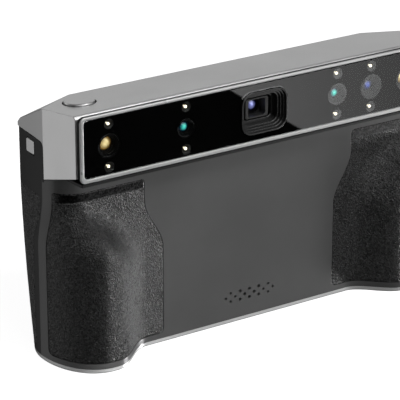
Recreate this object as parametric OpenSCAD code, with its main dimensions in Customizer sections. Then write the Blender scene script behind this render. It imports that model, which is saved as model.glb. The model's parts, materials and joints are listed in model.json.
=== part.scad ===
// Handheld structured-light scanner with two rubber grips, a silver head that carries
// the camera window, and a flip-up display hinged along the top of the back.
// X runs along the head, -Y is the way the cameras look, +Z is up.
// Inside the modules y is measured from the front face of the window, and in_frame()
// moves the part so that its origin is the centre of its box, at the bottom.

/* [Body] */
// Height of the scanner, at the front edge of its top
body_h = 104.6; // [104:0.1:106]
// How far the grips stand in front of the window
grip_front = 3.0; // [2.6:0.1:3.4]
// Depth from the front of the grips to the back of the display hinge
total_depth = 50.5; // [50:0.1:51]
// Half width over the grip columns
column_x = 88.3; // [88:0.1:89]
// Half width of the head and neck at the side corner
head_x = 86.0; // [85.6:0.1:86.4]
// Wall of the plastic shells
wall = 2.0; // [1.8:0.1:2.2]
// Fall of the top towards the back, as a slope
top_slope = 0.09; // [0.06:0.01:0.1]

/* [Window] */
// Half width of the glass
glass_x = 80.0; // [79.8:0.1:80.2]
// Bottom edge of the glass
glass_z0 = 80.0; // [79.9:0.1:80.1]
// Top edge of the glass
glass_z1 = 103.0; // [102.9:0.1:103.1]
// Thickness of the glass
glass_t = 1.1; // [1:0.1:1.2]
// Height of the line that all lenses sit on
lens_z = 91.2; // [91:0.1:91.4]
// Distance of each fill light above and below that line
led_dz = 8.45; // [8.3:0.05:8.6]
// Distance of the outer cameras from the middle
far_x = 68.9; // [68.7:0.1:69.1]
// Distance of the inner cameras from the middle
near_x = 35.0; // [34.8:0.1:35.2]
// Distance of the colour camera from the middle
rgb_x = 51.5; // [51.3:0.1:51.7]

/* [Grips] */
// Front plane of the shell between the grips
plate_y = 9.1; // [9:0.1:9.2]
// Thickness of the rubber pads
pad_t = 1.5; // [1.4:0.1:1.6]
// Height of the silver bottom plate
base_h = 2.0; // [1.8:0.1:2.2]

/* [Display] */
// Half width of the display
screen_x = 66.5; // [66:0.1:67]
// Thickness of the display, and diameter of its hinge barrel
screen_t = 8.5; // [8.3:0.1:8.7]
// Length of the display below its hinge
screen_len = 76; // [75:0.5:77]
// Height of the display hinge
hinge_z = 90.5; // [90:0.1:91]
// Lean of the closed display, in degrees
screen_lean = 4; // [3.5:0.1:4.5]
// Radius of the hinge pins
pin_r = 1.5; // [1.4:0.05:1.6]

/* [Buttons] */
// Diameter of the scan button
scan_d = 12.6; // [12:0.1:13]
// Travel of the scan button
scan_travel = 0.8; // [0.6:0.1:0.8]
// Width of the power button
power_w = 6.0; // [5.8:0.1:6.2]
// Height of the power button
power_h = 5.5; // [5.3:0.1:5.7]
// Travel of the power button
power_travel = 0.5; // [0.3:0.1:0.5]

/* [Hidden] */
$fn = 64;

mid_y = (total_depth - 2 * grip_front) / 2;
rear_y = total_depth - grip_front;
hinge_y = rear_y - screen_t / 2;
barrel_r = screen_t / 2;

silver = [0.72, 0.72, 0.73];
dark = [0.2, 0.2, 0.21];
black = [0.05, 0.05, 0.05];
rubber = [0.12, 0.12, 0.12];
steel = [0.6, 0.6, 0.62];
board_green = [0.05, 0.25, 0.15];
brass = [0.78, 0.6, 0.3];

module in_frame() {
  translate([0, -mid_y, 0]) children();
}

function smooth(t) =
  let (c = min(1, max(0, t)))
  c * c * (3 - 2 * c);

function mix(a, b, t) = a + (b - a) * t;

// ---- body surface -------------------------------------------------------------

inner_blend_z = 48;
outer_blend_z = 57.5;
blend_h = 20;

// Fraction of the neck shape, 0 in the column and 1 in the neck, at height z for a
// point at half width x. The inner side of the column ends lower, as a finger rest.
function neck_share(x, z) =
  let (middle = mix(inner_blend_z, outer_blend_z, smooth((x - 56) / 18)))
  smooth((z - middle) / blend_h + 0.5);

side_straight_y = 22;
nose_x = 70;
nose_flat = 2;
nose_inner = 20;
neck_corner_x = 74.5;
neck_corner_y = 20.3;
inner_x = nose_x - nose_flat - nose_inner;

// Share of the inner slope behind u, after the short flat on the nose.
function past_flat(u) = max(0, u - 1.1) / 0.9;

// Front outline of the column. u runs 0..1 down the outer flank, 1..2 across the
// inner slope of the nose and 2..3 over the flat plate to the middle.
function column_point(u) =
  u < 0 ? [column_x, side_straight_y + 3 * -u] :
  u <= 1 ? [nose_x + (column_x - nose_x) * cos(90 * u),
            side_straight_y - (side_straight_y + grip_front) * sin(90 * u)] :
  u <= 2 ? [nose_x - nose_flat * min(1, 10 * (u - 1)) - nose_inner * past_flat(u),
            mix(-grip_front, plate_y, (1 - cos(180 * past_flat(u))) / 2)] :
  [mix(inner_x, 0, u - 2), plate_y];

function neck_point(u) =
  u < 0 ? [head_x, side_straight_y + 3 * -u] :
  u <= 1 ? [neck_corner_x + (head_x - neck_corner_x) * cos(90 * u),
            neck_corner_y - (neck_corner_y - plate_y) * sin(90 * u)
            + (side_straight_y - neck_corner_y) * (1 - smooth(4 * u))] :
  u <= 2 ? [mix(neck_corner_x, inner_x, u - 1), plate_y] :
  [mix(inner_x, 0, u - 2), plate_y];

function front_point(u, z) =
  let (c = column_point(u), n = neck_point(u), t = neck_share(c[0], z))
  [mix(c[0], n[0], t), mix(c[1], n[1], t)];

function unit(v) = v / norm(v);

// Outward normal of the outline, in plan, on the right-hand side of the part.
function front_normal(u, z) =
  let (step = 0.02,
       a = front_point(u - step, z),
       b = front_point(min(u + step, 3), z),
       d = unit(b - a))
  [-d[1], d[0]];

function front_inset(u, z, inset) =
  let (p = front_point(u, z), n = front_normal(u, z))
  [max(p[0] - inset * n[0], 0), p[1] - inset * n[1]];

rear_outer_r = 1.4;
rear_inner_r = 5;
rear_in_x = 68.5;
back_wall_y = 42.7;
taper_z = 72;
taper_in = 7.5;
corner_x = 84.5;
shoulder_z = 73.5;
head_side_y = 20.5;
function rear_line(z) = back_wall_y - taper_in * pow(max(0, taper_z - z) / taper_z, 1.6);
function side_x(z) = mix(column_x, head_x, smooth((z - inner_blend_z + 0.5) / 15));
// The back shell starts further forward beside the head than beside the neck.
function side_start(z) = z > shoulder_z ? head_side_y : side_straight_y + 0.05;

// Back outline. v runs 0..1 along the side, 1..2 round the corner and 2..3 inward.
function rear_point(v, z, r) =
  let (yr = rear_line(z), xs = side_x(z), xc = corner_x - r, yc = yr - r)
  v <= 1 ? [mix(xs, corner_x, v * v), mix(side_start(z), yc, v)] :
  v <= 2 ? [xc + r * cos(90 * (v - 1)), yc + r * sin(90 * (v - 1))] :
  [mix(xc, rear_in_x, v - 2), yr];

function rear_normal(v, z, r) =
  let (step = 0.02,
       a = rear_point(max(v - step, 0), z, r),
       b = rear_point(min(v + step, 3), z, r),
       d = unit(b - a))
  [d[1], -d[0]];

// The surface has a tight corner, and everything inside it a wide one.
function rear_inset(v, z, inset) =
  let (r = inset > 0 ? rear_inner_r : rear_outer_r,
       p = rear_point(v, z, r), n = rear_normal(v, z, r))
  [p[0] - inset * n[0], p[1] - inset * n[1]];

// Closed sheet between an outer and an inner grid of points, each a list of rows.
module thick_sheet(outer, inner) {
  rows = len(outer);
  cols = len(outer[0]);
  count = rows * cols;
  points = concat([for (r = outer) each r], [for (r = inner) each r]);
  function at(r, c) = r * cols + c;
  skin = [for (r = [0:rows - 2], c = [0:cols - 2]) each [
    [at(r, c), at(r, c + 1), at(r + 1, c + 1)],
    [at(r, c), at(r + 1, c + 1), at(r + 1, c)]]];
  lining = [for (f = skin) [f[2] + count, f[1] + count, f[0] + count]];
  ends = [for (r = [0:rows - 2]) each [
    [at(r, 0), at(r + 1, 0), at(r + 1, 0) + count],
    [at(r, 0), at(r + 1, 0) + count, at(r, 0) + count],
    [at(r, cols - 1), at(r + 1, cols - 1) + count, at(r + 1, cols - 1)],
    [at(r, cols - 1), at(r, cols - 1) + count, at(r + 1, cols - 1) + count]]];
  rims = [for (c = [0:cols - 2]) each [
    [at(0, c), at(0, c) + count, at(0, c + 1) + count],
    [at(0, c), at(0, c + 1) + count, at(0, c + 1)],
    [at(rows - 1, c), at(rows - 1, c + 1), at(rows - 1, c + 1) + count],
    [at(rows - 1, c), at(rows - 1, c + 1) + count, at(rows - 1, c) + count]]];
  polyhedron(points, concat(skin, lining, ends, rims), convexity = 8);
}

// ---- head ---------------------------------------------------------------------

crest_y = 3.1;
edge_y = 2.05;
front_corner_x = 82.45;
head_wall = 1.8;
cap_z = 89.5;
big = 400;
chamfer_top_y = 31.2;
facet_x = 67.4;
head_front_z = 80.2;
under_slope = 0.29;
// Head solids start this low, and are cut to their lower edge afterwards.
head_from_z = 60;

function top_z(y) = body_h - top_slope * (y - crest_y);
function head_bottom(y) = head_front_z - under_slope * (y - edge_y);

module head_plan(inset) {
  offset_x = inset * 1.02;
  polygon([
    [front_corner_x - offset_x, edge_y - (inset > 0 ? 1 : 0)],
    [head_x - offset_x, neck_corner_y],
    [corner_x - offset_x, back_wall_y - inset],
    [-corner_x + offset_x, back_wall_y - inset],
    [-head_x + offset_x, neck_corner_y],
    [-front_corner_x + offset_x, edge_y - (inset > 0 ? 1 : 0)],
  ]);
}

// All of space beyond the plane through p with outward normal n, moved in by inset.
module beyond(p, n, inset) {
  translate(p - inset * unit(n))
    rotate([0, acos(n[2] / norm(n)), atan2(n[1], n[0])])
      translate([-big / 2, -big / 2, 0]) cube(big);
}

top_normal = [0, top_slope, 1];
chamfer_normal = [0, 1, 1.04];
side_corner = [head_x, neck_corner_y, top_z(neck_corner_y)];
back_corner = [facet_x, chamfer_top_y, top_z(chamfer_top_y)];
low_corner = [corner_x + 0.3, 39, 93.7];
facet_normal = cross(low_corner - side_corner, back_corner - side_corner);
// The corner facet stands this far off the side corner, so that the two don't meet in a point.
facet_out = 0.15;

module head_cuts(inset) {
  beyond([0, crest_y, body_h], top_normal, inset);
  beyond(back_corner, chamfer_normal, inset);
  beyond(side_corner, facet_normal, inset - facet_out);
  mirror([1, 0, 0]) beyond(side_corner, facet_normal, inset - facet_out);
}

module head_solid(inset) {
  difference() {
    translate([0, 0, head_from_z]) linear_extrude(head_from_z) head_plan(inset);
    head_cuts(inset);
  }
}

scan_x = -71;
scan_y = 18.7;
scan_gap = 0.6;
notch_x = screen_x + 0.9;
notch_y = hinge_y - barrel_r - 0.4;

module at_scan_button() {
  translate([scan_x, scan_y, top_z(scan_y)]) rotate([-atan(top_slope), 0, 0]) children();
}

// Slab from below up to the sloping line that ends the head's lower front edge.
module below_head_front() {
  front = -10;
  back = neck_corner_y + 5;
  translate([-big / 2, 0, 0]) rotate([90, 0, 90]) linear_extrude(big) polygon([
    [front, 0], [front, head_bottom(front)], [back, head_bottom(back)], [back, 0],
  ]);
}

module head_housing() {
  color(silver) in_frame() difference() {
    union() {
      difference() {
        head_solid(0);
        head_solid(head_wall);
      }
      intersection() {
        head_solid(0);
        translate([-notch_x - 2, notch_y - 2, cap_z]) cube([2 * notch_x + 4, 20, 20]);
      }
    }
    below_head_front();
    translate([-big / 2, neck_corner_y + 0.05, 0]) cube([big, big, cap_z]);
    translate([-notch_x, notch_y, cap_z - 1]) cube([2 * notch_x, 20, 20]);
    beyond([0, edge_y, body_h - 1], [0, -1, 1], 0);
    at_scan_button() translate([0, 0, -10]) cylinder(h = 20, d = scan_d - 0.7 + 2 * scan_gap);
  }
}

// ---- window -------------------------------------------------------------------

glass_zc = (glass_z0 + glass_z1) / 2;
glass_h = glass_z1 - glass_z0;
glass_w = 2 * glass_x;
glass_r = 1.6;
bezel_w = 1.7;
bezel_top_w = 1.4;
bezel_zc = glass_zc - (bezel_w - bezel_top_w) / 2;
bezel_hw = glass_x + bezel_w;
bezel_h = glass_h + bezel_w + bezel_top_w;
hood_w = 21.2;
hood_h = 17.4;
hood_r = 5;
mask_y = glass_t;
flange_y = glass_t + 0.1;
lens_xs = [-far_x, -near_x, near_x, rgb_x, far_x];
camera_rs = [4.5, 3.6, 4.0, 4.6, 4.5];

module rounded_rect(w, h, r) {
  for (x = [-1, 1], z = [-1, 1])
    translate([x * (w / 2 - r), z * (h / 2 - r)]) circle(r);
  square([w - 2 * r, h], center = true);
  square([w, h - 2 * r], center = true);
}

// Plate standing upright: outline in x and z, from y to y + t.
module upright(y, t) {
  translate([0, y + t, 0]) rotate([90, 0, 0]) linear_extrude(t) children();
}

tunnel_w = 155.6;
tunnel_h = 19.8;
tunnel_wall = 1.6;
tunnel_wall_z = 0.8;
bench_drop = 0.4;
bench_screw_dz = 8.6;
screw_r = 1;
screw_hole_r = 1.05;

module bezel_carrier() {
  color(black) in_frame() {
    difference() {
      upright(flange_y, edge_y - flange_y - 0.05)
        translate([0, bezel_zc]) rounded_rect(2 * bezel_hw - 0.4, bezel_h - 0.4, 2);
      upright(0, 4) translate([0, glass_zc])
        rounded_rect(glass_w - 4, glass_h - 3, 1.5);
    }
    difference() {
      upright(edge_y - 0.05, 7) translate([0, lens_z - 0.1])
        rounded_rect(tunnel_w + 2 * tunnel_wall, tunnel_h + 2 * tunnel_wall_z, 2);
      upright(0, 12) translate([0, lens_z - 0.1]) rounded_rect(tunnel_w, tunnel_h, 1.5);
    }
    for (x = bench_screw_xs, side = [-1, 1])
      translate([x, 0, lens_z + side * bench_screw_dz - bench_drop]) difference() {
        upright(4.6, 4.4) circle(1.7);
        upright(4, 6) circle(screw_hole_r);
      }
  }
}

module front_bezel() {
  color(silver) in_frame() difference() {
    upright(0, flange_y) translate([0, bezel_zc]) rounded_rect(2 * bezel_hw, bezel_h, 2.2);
    upright(-1, 4) translate([0, glass_zc])
      rounded_rect(glass_w + 0.1, glass_h + 0.1, glass_r + 0.05);
  }
}

module front_glass() {
  color(black, 0.9) in_frame() difference() {
    upright(0.02, glass_t - 0.02) translate([0, glass_zc])
      rounded_rect(glass_w, glass_h, glass_r);
    upright(-1, 4) translate([0, lens_z]) rounded_rect(hood_w + 0.2, hood_h + 0.2, hood_r);
  }
}

led_window_r = 2.2;
led_xs = lens_xs;

module window_mask() {
  color(black) in_frame() difference() {
    upright(mask_y, 0.1) translate([0, glass_zc])
      rounded_rect(glass_w - 0.4, glass_h - 0.4, glass_r);
    upright(-1, 4) translate([0, lens_z]) rounded_rect(hood_w + 0.6, hood_h + 0.6, hood_r);
    for (i = [0:len(lens_xs) - 1]) upright(-1, 4)
      translate([lens_xs[i], lens_z]) circle(camera_rs[i] + 0.5);
    for (x = led_xs, side = [-1, 1]) upright(-1, 4)
      translate([x, lens_z + side * led_dz]) circle(led_window_r);
  }
}

led_y = 1.45;
led_base_t = 0.7;
led_dome_r = 0.95;
led_board_y = 3.4;
led_board_t = 1;

module led_board() {
  color(board_green) in_frame() difference() {
    upright(led_board_y, led_board_t) translate([0, lens_z - bench_drop])
      rounded_rect(tunnel_w - 0.4, tunnel_h - 1, 1.5);
    upright(0, 9) translate([0, lens_z]) rounded_rect(hood_w + 1, hood_h - 3, 1);
    upright(0, 9) translate([0, lens_z + 6]) square([hood_w + 1, hood_h], center = true);
    upright(0, 9) translate([0, lens_z - 6]) square([hood_w + 1, hood_h], center = true);
    for (i = [0:len(lens_xs) - 1]) upright(0, 9)
      translate([lens_xs[i], lens_z]) circle(camera_rs[i] + 0.25);
  }
}

module fill_leds() {
  color([1, 0.93, 0.75]) in_frame()
    for (x = led_xs, side = [-1, 1]) translate([x, 0, lens_z + side * led_dz]) {
      upright(led_board_y - led_base_t, led_base_t) square([2.8, 1.9], center = true);
      upright(led_y, led_board_y - led_base_t - led_y) circle(led_dome_r);
    }
}

bench_y = 9.2;
bench_t = 3;
bench_w = 158;
bench_h = 21.2;
camera_y = 1.5;
camera_body_y = 5;
camera_body_h = 12.6;

// ---- cameras and projector ----------------------------------------------------

module camera(x, r, lens_r, lens_y) {
  color(black) in_frame() translate([x, 0, lens_z]) difference() {
    union() {
      upright(camera_y, camera_body_y) circle(r);
      upright(camera_body_y, bench_y - camera_body_y - 0.05)
        square([2 * r + 4, camera_body_h], center = true);
    }
    upright(camera_y - 0.1, lens_y - camera_y + 0.1) circle(lens_r + 0.7);
    upright(lens_y - 0.1, 2.2) circle(lens_r + 0.05);
  }
}

module lens(x, r, y, tint) {
  color(tint) in_frame() translate([x, 0, lens_z]) {
    upright(y + 0.6, 1.2) circle(r);
    translate([0, y + 0.6, 0]) rotate([90, 0, 0]) rotate_extrude()
      polygon([[0, 0], [r - 0.2, 0], [r * 0.75, 0.28], [r * 0.4, 0.5], [0, 0.58]]);
  }
}

far_lens_r = 2.7;
near_lens_r = 2.0;
rgb_lens_r = 2.4;

module far_camera_left() { camera(-far_x, camera_rs[0], far_lens_r, 4.0); }
module near_camera_left() { camera(-near_x, camera_rs[1], near_lens_r, 3.0); }
module near_camera_right() { camera(near_x, camera_rs[2], near_lens_r, 3.0); }
module rgb_camera() { camera(rgb_x, camera_rs[3], rgb_lens_r, 3.4); }
module far_camera_right() { camera(far_x, camera_rs[4], far_lens_r, 4.0); }
module far_lens_left() { lens(-far_x, far_lens_r, 4.0, "gold"); }
module near_lens_left() { lens(-near_x, near_lens_r, 3.0, "teal"); }
module near_lens_right() { lens(near_x, near_lens_r, 3.0, "teal"); }
module rgb_lens() { lens(rgb_x, rgb_lens_r, 3.4, "navy"); }
module far_lens_right() { lens(far_x, far_lens_r, 4.0, "gold"); }

hood_steps = 4;
hood_lip = 0.6;
hood_step_in = 1.1;
hood_step_deep = 1.5;
hood_end_y = 8.5;
projector_r = 3.4;
module_w = 24;
module_h = 19;
module_lens_y = hood_end_y + 0.9;

module projector_hood() {
  color(black) in_frame() translate([0, 0, lens_z]) difference() {
    upright(-0.35, hood_end_y + 0.35) rounded_rect(hood_w, hood_h, hood_r);
    for (i = [0:hood_steps]) {
      narrower = 2 * (hood_lip + hood_step_in * i);
      upright(-1, i < hood_steps ? 1 + hood_step_deep * (i + 0.4) : 20)
        rounded_rect(hood_w - narrower, hood_h - narrower, hood_r - hood_lip - 0.4 * i);
    }
  }
}

module projector_module() {
  color(dark) in_frame() translate([0, 0, lens_z]) difference() {
    union() {
      upright(hood_end_y + 0.05, 2) square([module_w, module_h], center = true);
      upright(hood_end_y + 2, 14) square([module_w - 4, module_h - 1], center = true);
    }
    upright(0, hood_end_y + 3) circle(projector_r + 0.05);
  }
}

module projector_lens() {
  color("indigo", 0.6) in_frame() translate([0, 0, lens_z]) {
    upright(module_lens_y, 1.6) circle(projector_r);
    translate([0, module_lens_y, 0]) rotate([90, 0, 0]) rotate_extrude()
      polygon([[0, 0], [3.2, 0], [2.4, 0.4], [1.3, 0.7], [0, 0.8]]);
  }
}

bench_screw_xs = [-57, -45, -16, 16, 43.5, 76];

module optical_bench() {
  color(silver) in_frame() difference() {
    union() {
      upright(bench_y, bench_t) translate([0, lens_z - bench_drop])
        rounded_rect(bench_w, bench_h, 2);
      at_scan_button() translate([-2.5, -8, -9.5]) cube([5, 11, 1.45]);
    }
    upright(0, 20) translate([0, lens_z])
      square([module_w + 0.3, module_h + 0.3], center = true);
    at_scan_button() translate([0, 0, -5]) cylinder(h = 10, r = scan_cap_r + 2);
    for (x = bench_screw_xs, side = [-1, 1])
      upright(0, 20) translate([x, lens_z + side * bench_screw_dz - bench_drop])
        circle(screw_hole_r);
  }
}

module bench_screws() {
  color(steel) in_frame() for (x = bench_screw_xs, side = [-1, 1])
    translate([x, 0, lens_z + side * bench_screw_dz - bench_drop]) {
      upright(bench_y - 2, bench_t + 2) circle(screw_r);
      difference() {
        upright(bench_y + bench_t, 1.3) circle(1.9);
        upright(bench_y + bench_t + 0.6, 1.3) circle(0.9, $fn = 6);
      }
    }
}

// ---- shells -------------------------------------------------------------------

pad_u0 = 0.16;
pad_u1 = 2.125;
pad_z0 = 4.6;
pad_z1 = 71.3;
pocket = pad_t + 0.1;
seam = 0.05;
ledge_z = 76.3;
bend_zs = [20, 34, 38, 42, 45, 48, 51, 54, 57, 60, 63, 67];
bend_us = [0.25, 0.35, 0.5, 0.65, 0.8, 0.92, 1, 1.1, 1.25, 1.4, 1.55, 1.7, 1.85, 2];
shell_us = concat([0, 0.08, pad_u0 - seam, pad_u0], bend_us, [pad_u1, pad_u1 + seam, 2.6]);
shell_zs = concat([base_h, pad_z0 - seam, pad_z0], bend_zs, [pad_z1, pad_z1 + seam, big]);

function in_pad(u, z) = u >= pad_u0 && u <= pad_u1 && z >= pad_z0 && z <= pad_z1;
function shell_z(p, z) = min(z, head_bottom(p[1]) - 0.25);
function place(p, z) = [p[0], p[1], z];
function flip(p) = [-p[0], p[1], p[2]];
function reversed(l) = [for (i = [len(l) - 1:-1:0]) l[i]];

// One row of the front shell from its right edge to its left edge.
function shell_row(z, extra, sunk) =
  let (half = [for (u = shell_us)
    let (inset = extra + (u < 2.2 && (sunk || in_pad(u, z)) ? pocket : 0),
         at = min(z, ledge_z))
    place(front_inset(u, at, inset), shell_z(front_point(u, at), z))])
  concat(half, [place([0, plate_y + extra], half[len(half) - 1][2])],
    [for (p = reversed(half)) flip(p)]);

case_screw_x = 45;
case_screw_zs = [15, 68];
ledge_t = 1.4;
ledge_depth = 12.7;
inside_y = plate_y + wall;

module front_shell() {
  color(dark) in_frame() {
    difference() {
      thick_sheet([for (z = shell_zs) shell_row(z, 0, false)],
        [for (z = shell_zs) shell_row(z, wall, true)]);
      speaker_holes();
    }
    intersection() {
      translate([0, 0, ledge_z]) linear_extrude(ledge_t) head_plan(head_wall + 0.1);
      translate([-big / 2, 1.3, 0]) cube([big, ledge_depth, big]);
    }
    for (x = [-1, 1], z = board_post_zs) translate([x * board_post_x, 0, z]) {
      upright(inside_y - 0.4, board_y - board_t - inside_y + 0.35) circle(2.6);
      upright(inside_y, board_y + 0.6 - inside_y) circle(1.3);
    }
    for (x = [-1, 1], z = case_screw_zs) translate([x * case_screw_x, 0, z])
      difference() {
        upright(inside_y - 0.4, 13.9) circle(3.2);
        upright(inside_y + 4, 12) circle(screw_hole_r);
      }
    for (x = base_screw_xs) difference() {
      union() {
        translate([x, insert_y, base_boss_h + 0.1]) cylinder(h = 7, r = 3);
        translate([x - 1.5, inside_y - 0.4, base_boss_h + 0.1])
          cube([3, insert_y - inside_y, 7]);
      }
      translate([x, insert_y, 0]) cylinder(h = 12, r = 1.3);
    }
  }
}

pad_us = concat([pad_u0 + seam / 4], bend_us, [pad_u1 - seam / 4]);
pad_zs = concat([pad_z0 + seam], bend_zs, [pad_z1 - seam]);

module grip_pad_right() {
  color(rubber) in_frame() thick_sheet(
    [for (z = pad_zs) [for (u = pad_us) place(front_inset(u, z, 0), z)]],
    [for (z = pad_zs) [for (u = pad_us) place(front_inset(u, z, pad_t), z)]]);
}

module grip_pad_left() {
  color(rubber) in_frame() mirror([1, 0, 0]) thick_sheet(
    [for (z = pad_zs) reversed([for (u = pad_us) place(front_inset(u, z, 0), z)])],
    [for (z = pad_zs) reversed([for (u = pad_us) place(front_inset(u, z, pad_t), z)])]);
}

side_pad_v0 = 0.2;
side_pad_v1 = 2.6;
side_pad_z0 = 4.6;
side_pad_z1 = 67.3;
pad_zone_z = 70;
rear_bend_zs = [12, 22, 32, 42, 47, 52, 57, 62];
rear_bend_vs = [0.4, 0.6, 0.8, 1, 1.25, 1.5, 1.75, 2];
rear_vs = concat([0, side_pad_v0 - seam, side_pad_v0], rear_bend_vs,
  [side_pad_v1, side_pad_v1 + seam, 3]);
rear_zs = concat([base_h, side_pad_z0 - seam, side_pad_z0],
  rear_bend_zs, [side_pad_z1, side_pad_z1 + seam, shoulder_z - 0.1, shoulder_z + 0.1],
  [80, cap_z - 0.1]);

function in_side_pad(v, z) =
  v >= side_pad_v0 && v <= side_pad_v1 && z >= side_pad_z0 && z <= side_pad_z1;

// Left-hand back sheet; x is negative so that its faces turn the right way round.
module rear_sheet(vs, zs, extra, deep, sunk_pad) {
  thick_sheet(
    [for (z = zs) [for (v = vs)
      flip(place(rear_inset(v, z, sunk_pad && in_side_pad(v, z) ? pocket : 0), z))]],
    [for (z = zs) [for (v = vs)
      flip(place(rear_inset(v, z, extra + (z < pad_zone_z ? deep : 0)), z))]]);
}

lean = tan(screen_lean);
pocket_z0 = hinge_z - screen_len - 2;
function floor_y(z) = notch_y - (hinge_z - z) * lean;

// Outline in y and z, drawn out along x to both sides of the middle.
module across(half_w) {
  translate([-half_w, 0, 0]) rotate([90, 0, 90]) linear_extrude(2 * half_w) children();
}

back_line = [for (z = [base_h, 6, pocket_z0 - 2, 20, 28, 36, 44, 52, 60, 68, 72, cap_z - 0.1])
  [rear_line(z), z]];

module rear_shell() {
  color(dark) in_frame() difference() {
    union() {
      rear_sheet(rear_vs, rear_zs, wall, pocket, true);
      mirror([1, 0, 0]) rear_sheet(rear_vs, rear_zs, wall, pocket, true);
      difference() {
        across(notch_x + wall) polygon(concat(back_line, [
          [floor_y(cap_z) - wall, cap_z - 0.1], [floor_y(pocket_z0) - wall, pocket_z0],
          [floor_y(pocket_z0) - wall, pocket_z0 - wall],
          [rear_line(pocket_z0 - wall) - wall - 1, pocket_z0 - wall],
          [rear_line(base_h) - wall, base_h]]));
        across(notch_x) polygon([
          [floor_y(pocket_z0), pocket_z0], [80, pocket_z0], [80, 120],
          [floor_y(120), 120]]);
      }
      for (x = [-1, 1], z = case_screw_zs) translate([x * case_screw_x, 0, z])
        upright(25.1, floor_y(z) - 26) circle(3.6);
      translate([-83.8, power_y - shelf_w / 2, power_z - 5.8]) cube([6.2, shelf_w, 1.4]);
      translate([-switch_x + 0.1, power_y - shelf_w / 2, power_z - 4.5])
        cube([2.9, shelf_w, 1.45]);
    }
    for (x = [-1, 1], z = case_screw_zs) translate([x * case_screw_x, 0, z]) {
      upright(20, 20) circle(1.15);
      upright(floor_y(z) - 2.2, 10) circle(2.3);
    }
    power_cut();
    usb_cut();
    bracket_cuts();
    for (x = [-bracket_x, bracket_x], z = foot_screw_zs)
      translate([x, 0, z]) upright(foot_y - 0.5, 4.3) circle(screw_hole_r);
  }
}

module side_pad_left() {
  color(rubber) in_frame() side_pad_sheet();
}

module side_pad_right() {
  color(rubber) in_frame() mirror([1, 0, 0]) side_pad_sheet();
}

module side_pad_sheet() {
  vs = concat([side_pad_v0 + seam / 4], rear_bend_vs, [side_pad_v1 - seam / 4]);
  zs = concat([side_pad_z0 + seam], rear_bend_zs, [side_pad_z1 - seam]);
  rear_sheet(vs, zs, pad_t, 0, false);
}

insert_y = 23.5;
insert_r = 4.5;
insert_h = 9;
insert_wall = 2;
base_boss_h = 6;
thread_r = 2.65;
base_screw_xs = [-30, 30];

module base_outline(inset) {
  front = [for (u = concat([0, 0.08, 0.16], bend_us, [3])) front_inset(u, base_h, inset)];
  back = [for (v = [for (n = [12:-1:0]) n / 4]) rear_inset(v, base_h, inset)];
  half = concat(back, front);
  polygon(concat(half, [for (p = reversed(half)) [-p[0], p[1]]]));
}

module bottom_plate() {
  color(silver) in_frame() difference() {
    union() {
      linear_extrude(base_h - 0.05) base_outline(0);
      translate([0, insert_y, 0]) cylinder(h = insert_h, r = insert_r + insert_wall);
      for (x = base_screw_xs) translate([x, insert_y, 0])
        cylinder(h = base_boss_h, r = 3.4);
    }
    translate([0, insert_y, -1]) cylinder(h = 20, r = insert_r + 0.02);
    for (x = base_screw_xs) translate([x, insert_y, 0]) {
      translate([0, 0, -1]) cylinder(h = 20, r = 1.35);
      translate([0, 0, -1]) cylinder(h = 2.4, r = 2.4);
    }
  }
}

module tripod_insert() {
  color(brass) in_frame() translate([0, insert_y, 0]) difference() {
    cylinder(h = insert_h - 0.2, r = insert_r);
    translate([0, 0, -1]) cylinder(h = 20, r = thread_r);
  }
}

// ---- inside -------------------------------------------------------------------

board_y = 24;
board_t = 1.2;
board_z0 = 20;
board_z1 = 64;
board_hw = 56;

board_post_x = board_hw - 4;
board_post_zs = [board_z0 + 4, board_z1 - 4];

module main_board() {
  color(board_green) in_frame() difference() {
    translate([-board_hw, board_y - board_t, board_z0])
      cube([2 * board_hw, board_t, board_z1 - board_z0]);
    for (x = [-1, 1], z = board_post_zs)
      translate([x * board_post_x, 0, z]) upright(20, 9) circle(1.5);
  }
}

module board_chips() {
  color(black) in_frame() {
    translate([-10, board_y - board_t - 1.5, 36]) cube([20, 1.5, 20]);
    translate([14, board_y - board_t - 1.2, 38]) cube([12, 1.2, 14]);
    translate([-30, board_y - board_t - 1.2, 40]) cube([14, 1.2, 12]);
    translate([-44, board_y - board_t - 2, 26]) cube([10, 2, 8]);
    translate([32, board_y - board_t - 2, 24]) cube([8, 2, 16]);
  }
}

module heat_spreader() {
  color(silver) in_frame() difference() {
    translate([-40, board_y - board_t - 3.6, 22]) cube([80, 2, 40]);
    translate([-46, board_y - board_t - 4, 20]) cube([15, 3, 16]);
    translate([30, board_y - board_t - 4, 20]) cube([15, 3, 22]);
  }
}

battery_r = 9;
battery_x = 71.5;
battery_y = 21.6;
battery_z = 3.4;
battery_h = 64;

module battery(x) {
  color("seagreen") in_frame() translate([x, battery_y, battery_z]) {
    cylinder(h = battery_h, r = battery_r);
    translate([0, 0, battery_h]) cylinder(h = 1, r = 3);
  }
}

cradle_wall = 0.75;
cradle_h = 58;

module battery_cradles() {
  color(black) in_frame() for (x = [-battery_x, battery_x])
    translate([x, battery_y, base_h + 0.05]) difference() {
      cylinder(h = cradle_h, r = battery_r + 0.15 + cradle_wall);
      translate([0, 0, 1.2]) cylinder(h = cradle_h, r = battery_r + 0.15);
    }
}

module battery_left() { battery(-battery_x); }
module battery_right() { battery(battery_x); }

hole_z = 11.5;
hole_pitch = 4.5;
hole_row = 1.8;
speaker_w = 30;
speaker_h = 14;

// Three staggered rows, five holes, six and five, the largest ones in the middle.
module speaker_holes() {
  for (row = [-1:1]) {
    count = row == 0 ? 6 : 5;
    for (n = [0:count - 1]) {
      x = (n - (count - 1) / 2) * hole_pitch;
      translate([x, 0, hole_z + row * hole_row])
        upright(plate_y - 1, wall + 2) circle(abs(x) < 6 ? 0.7 : 0.55);
    }
  }
}

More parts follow.
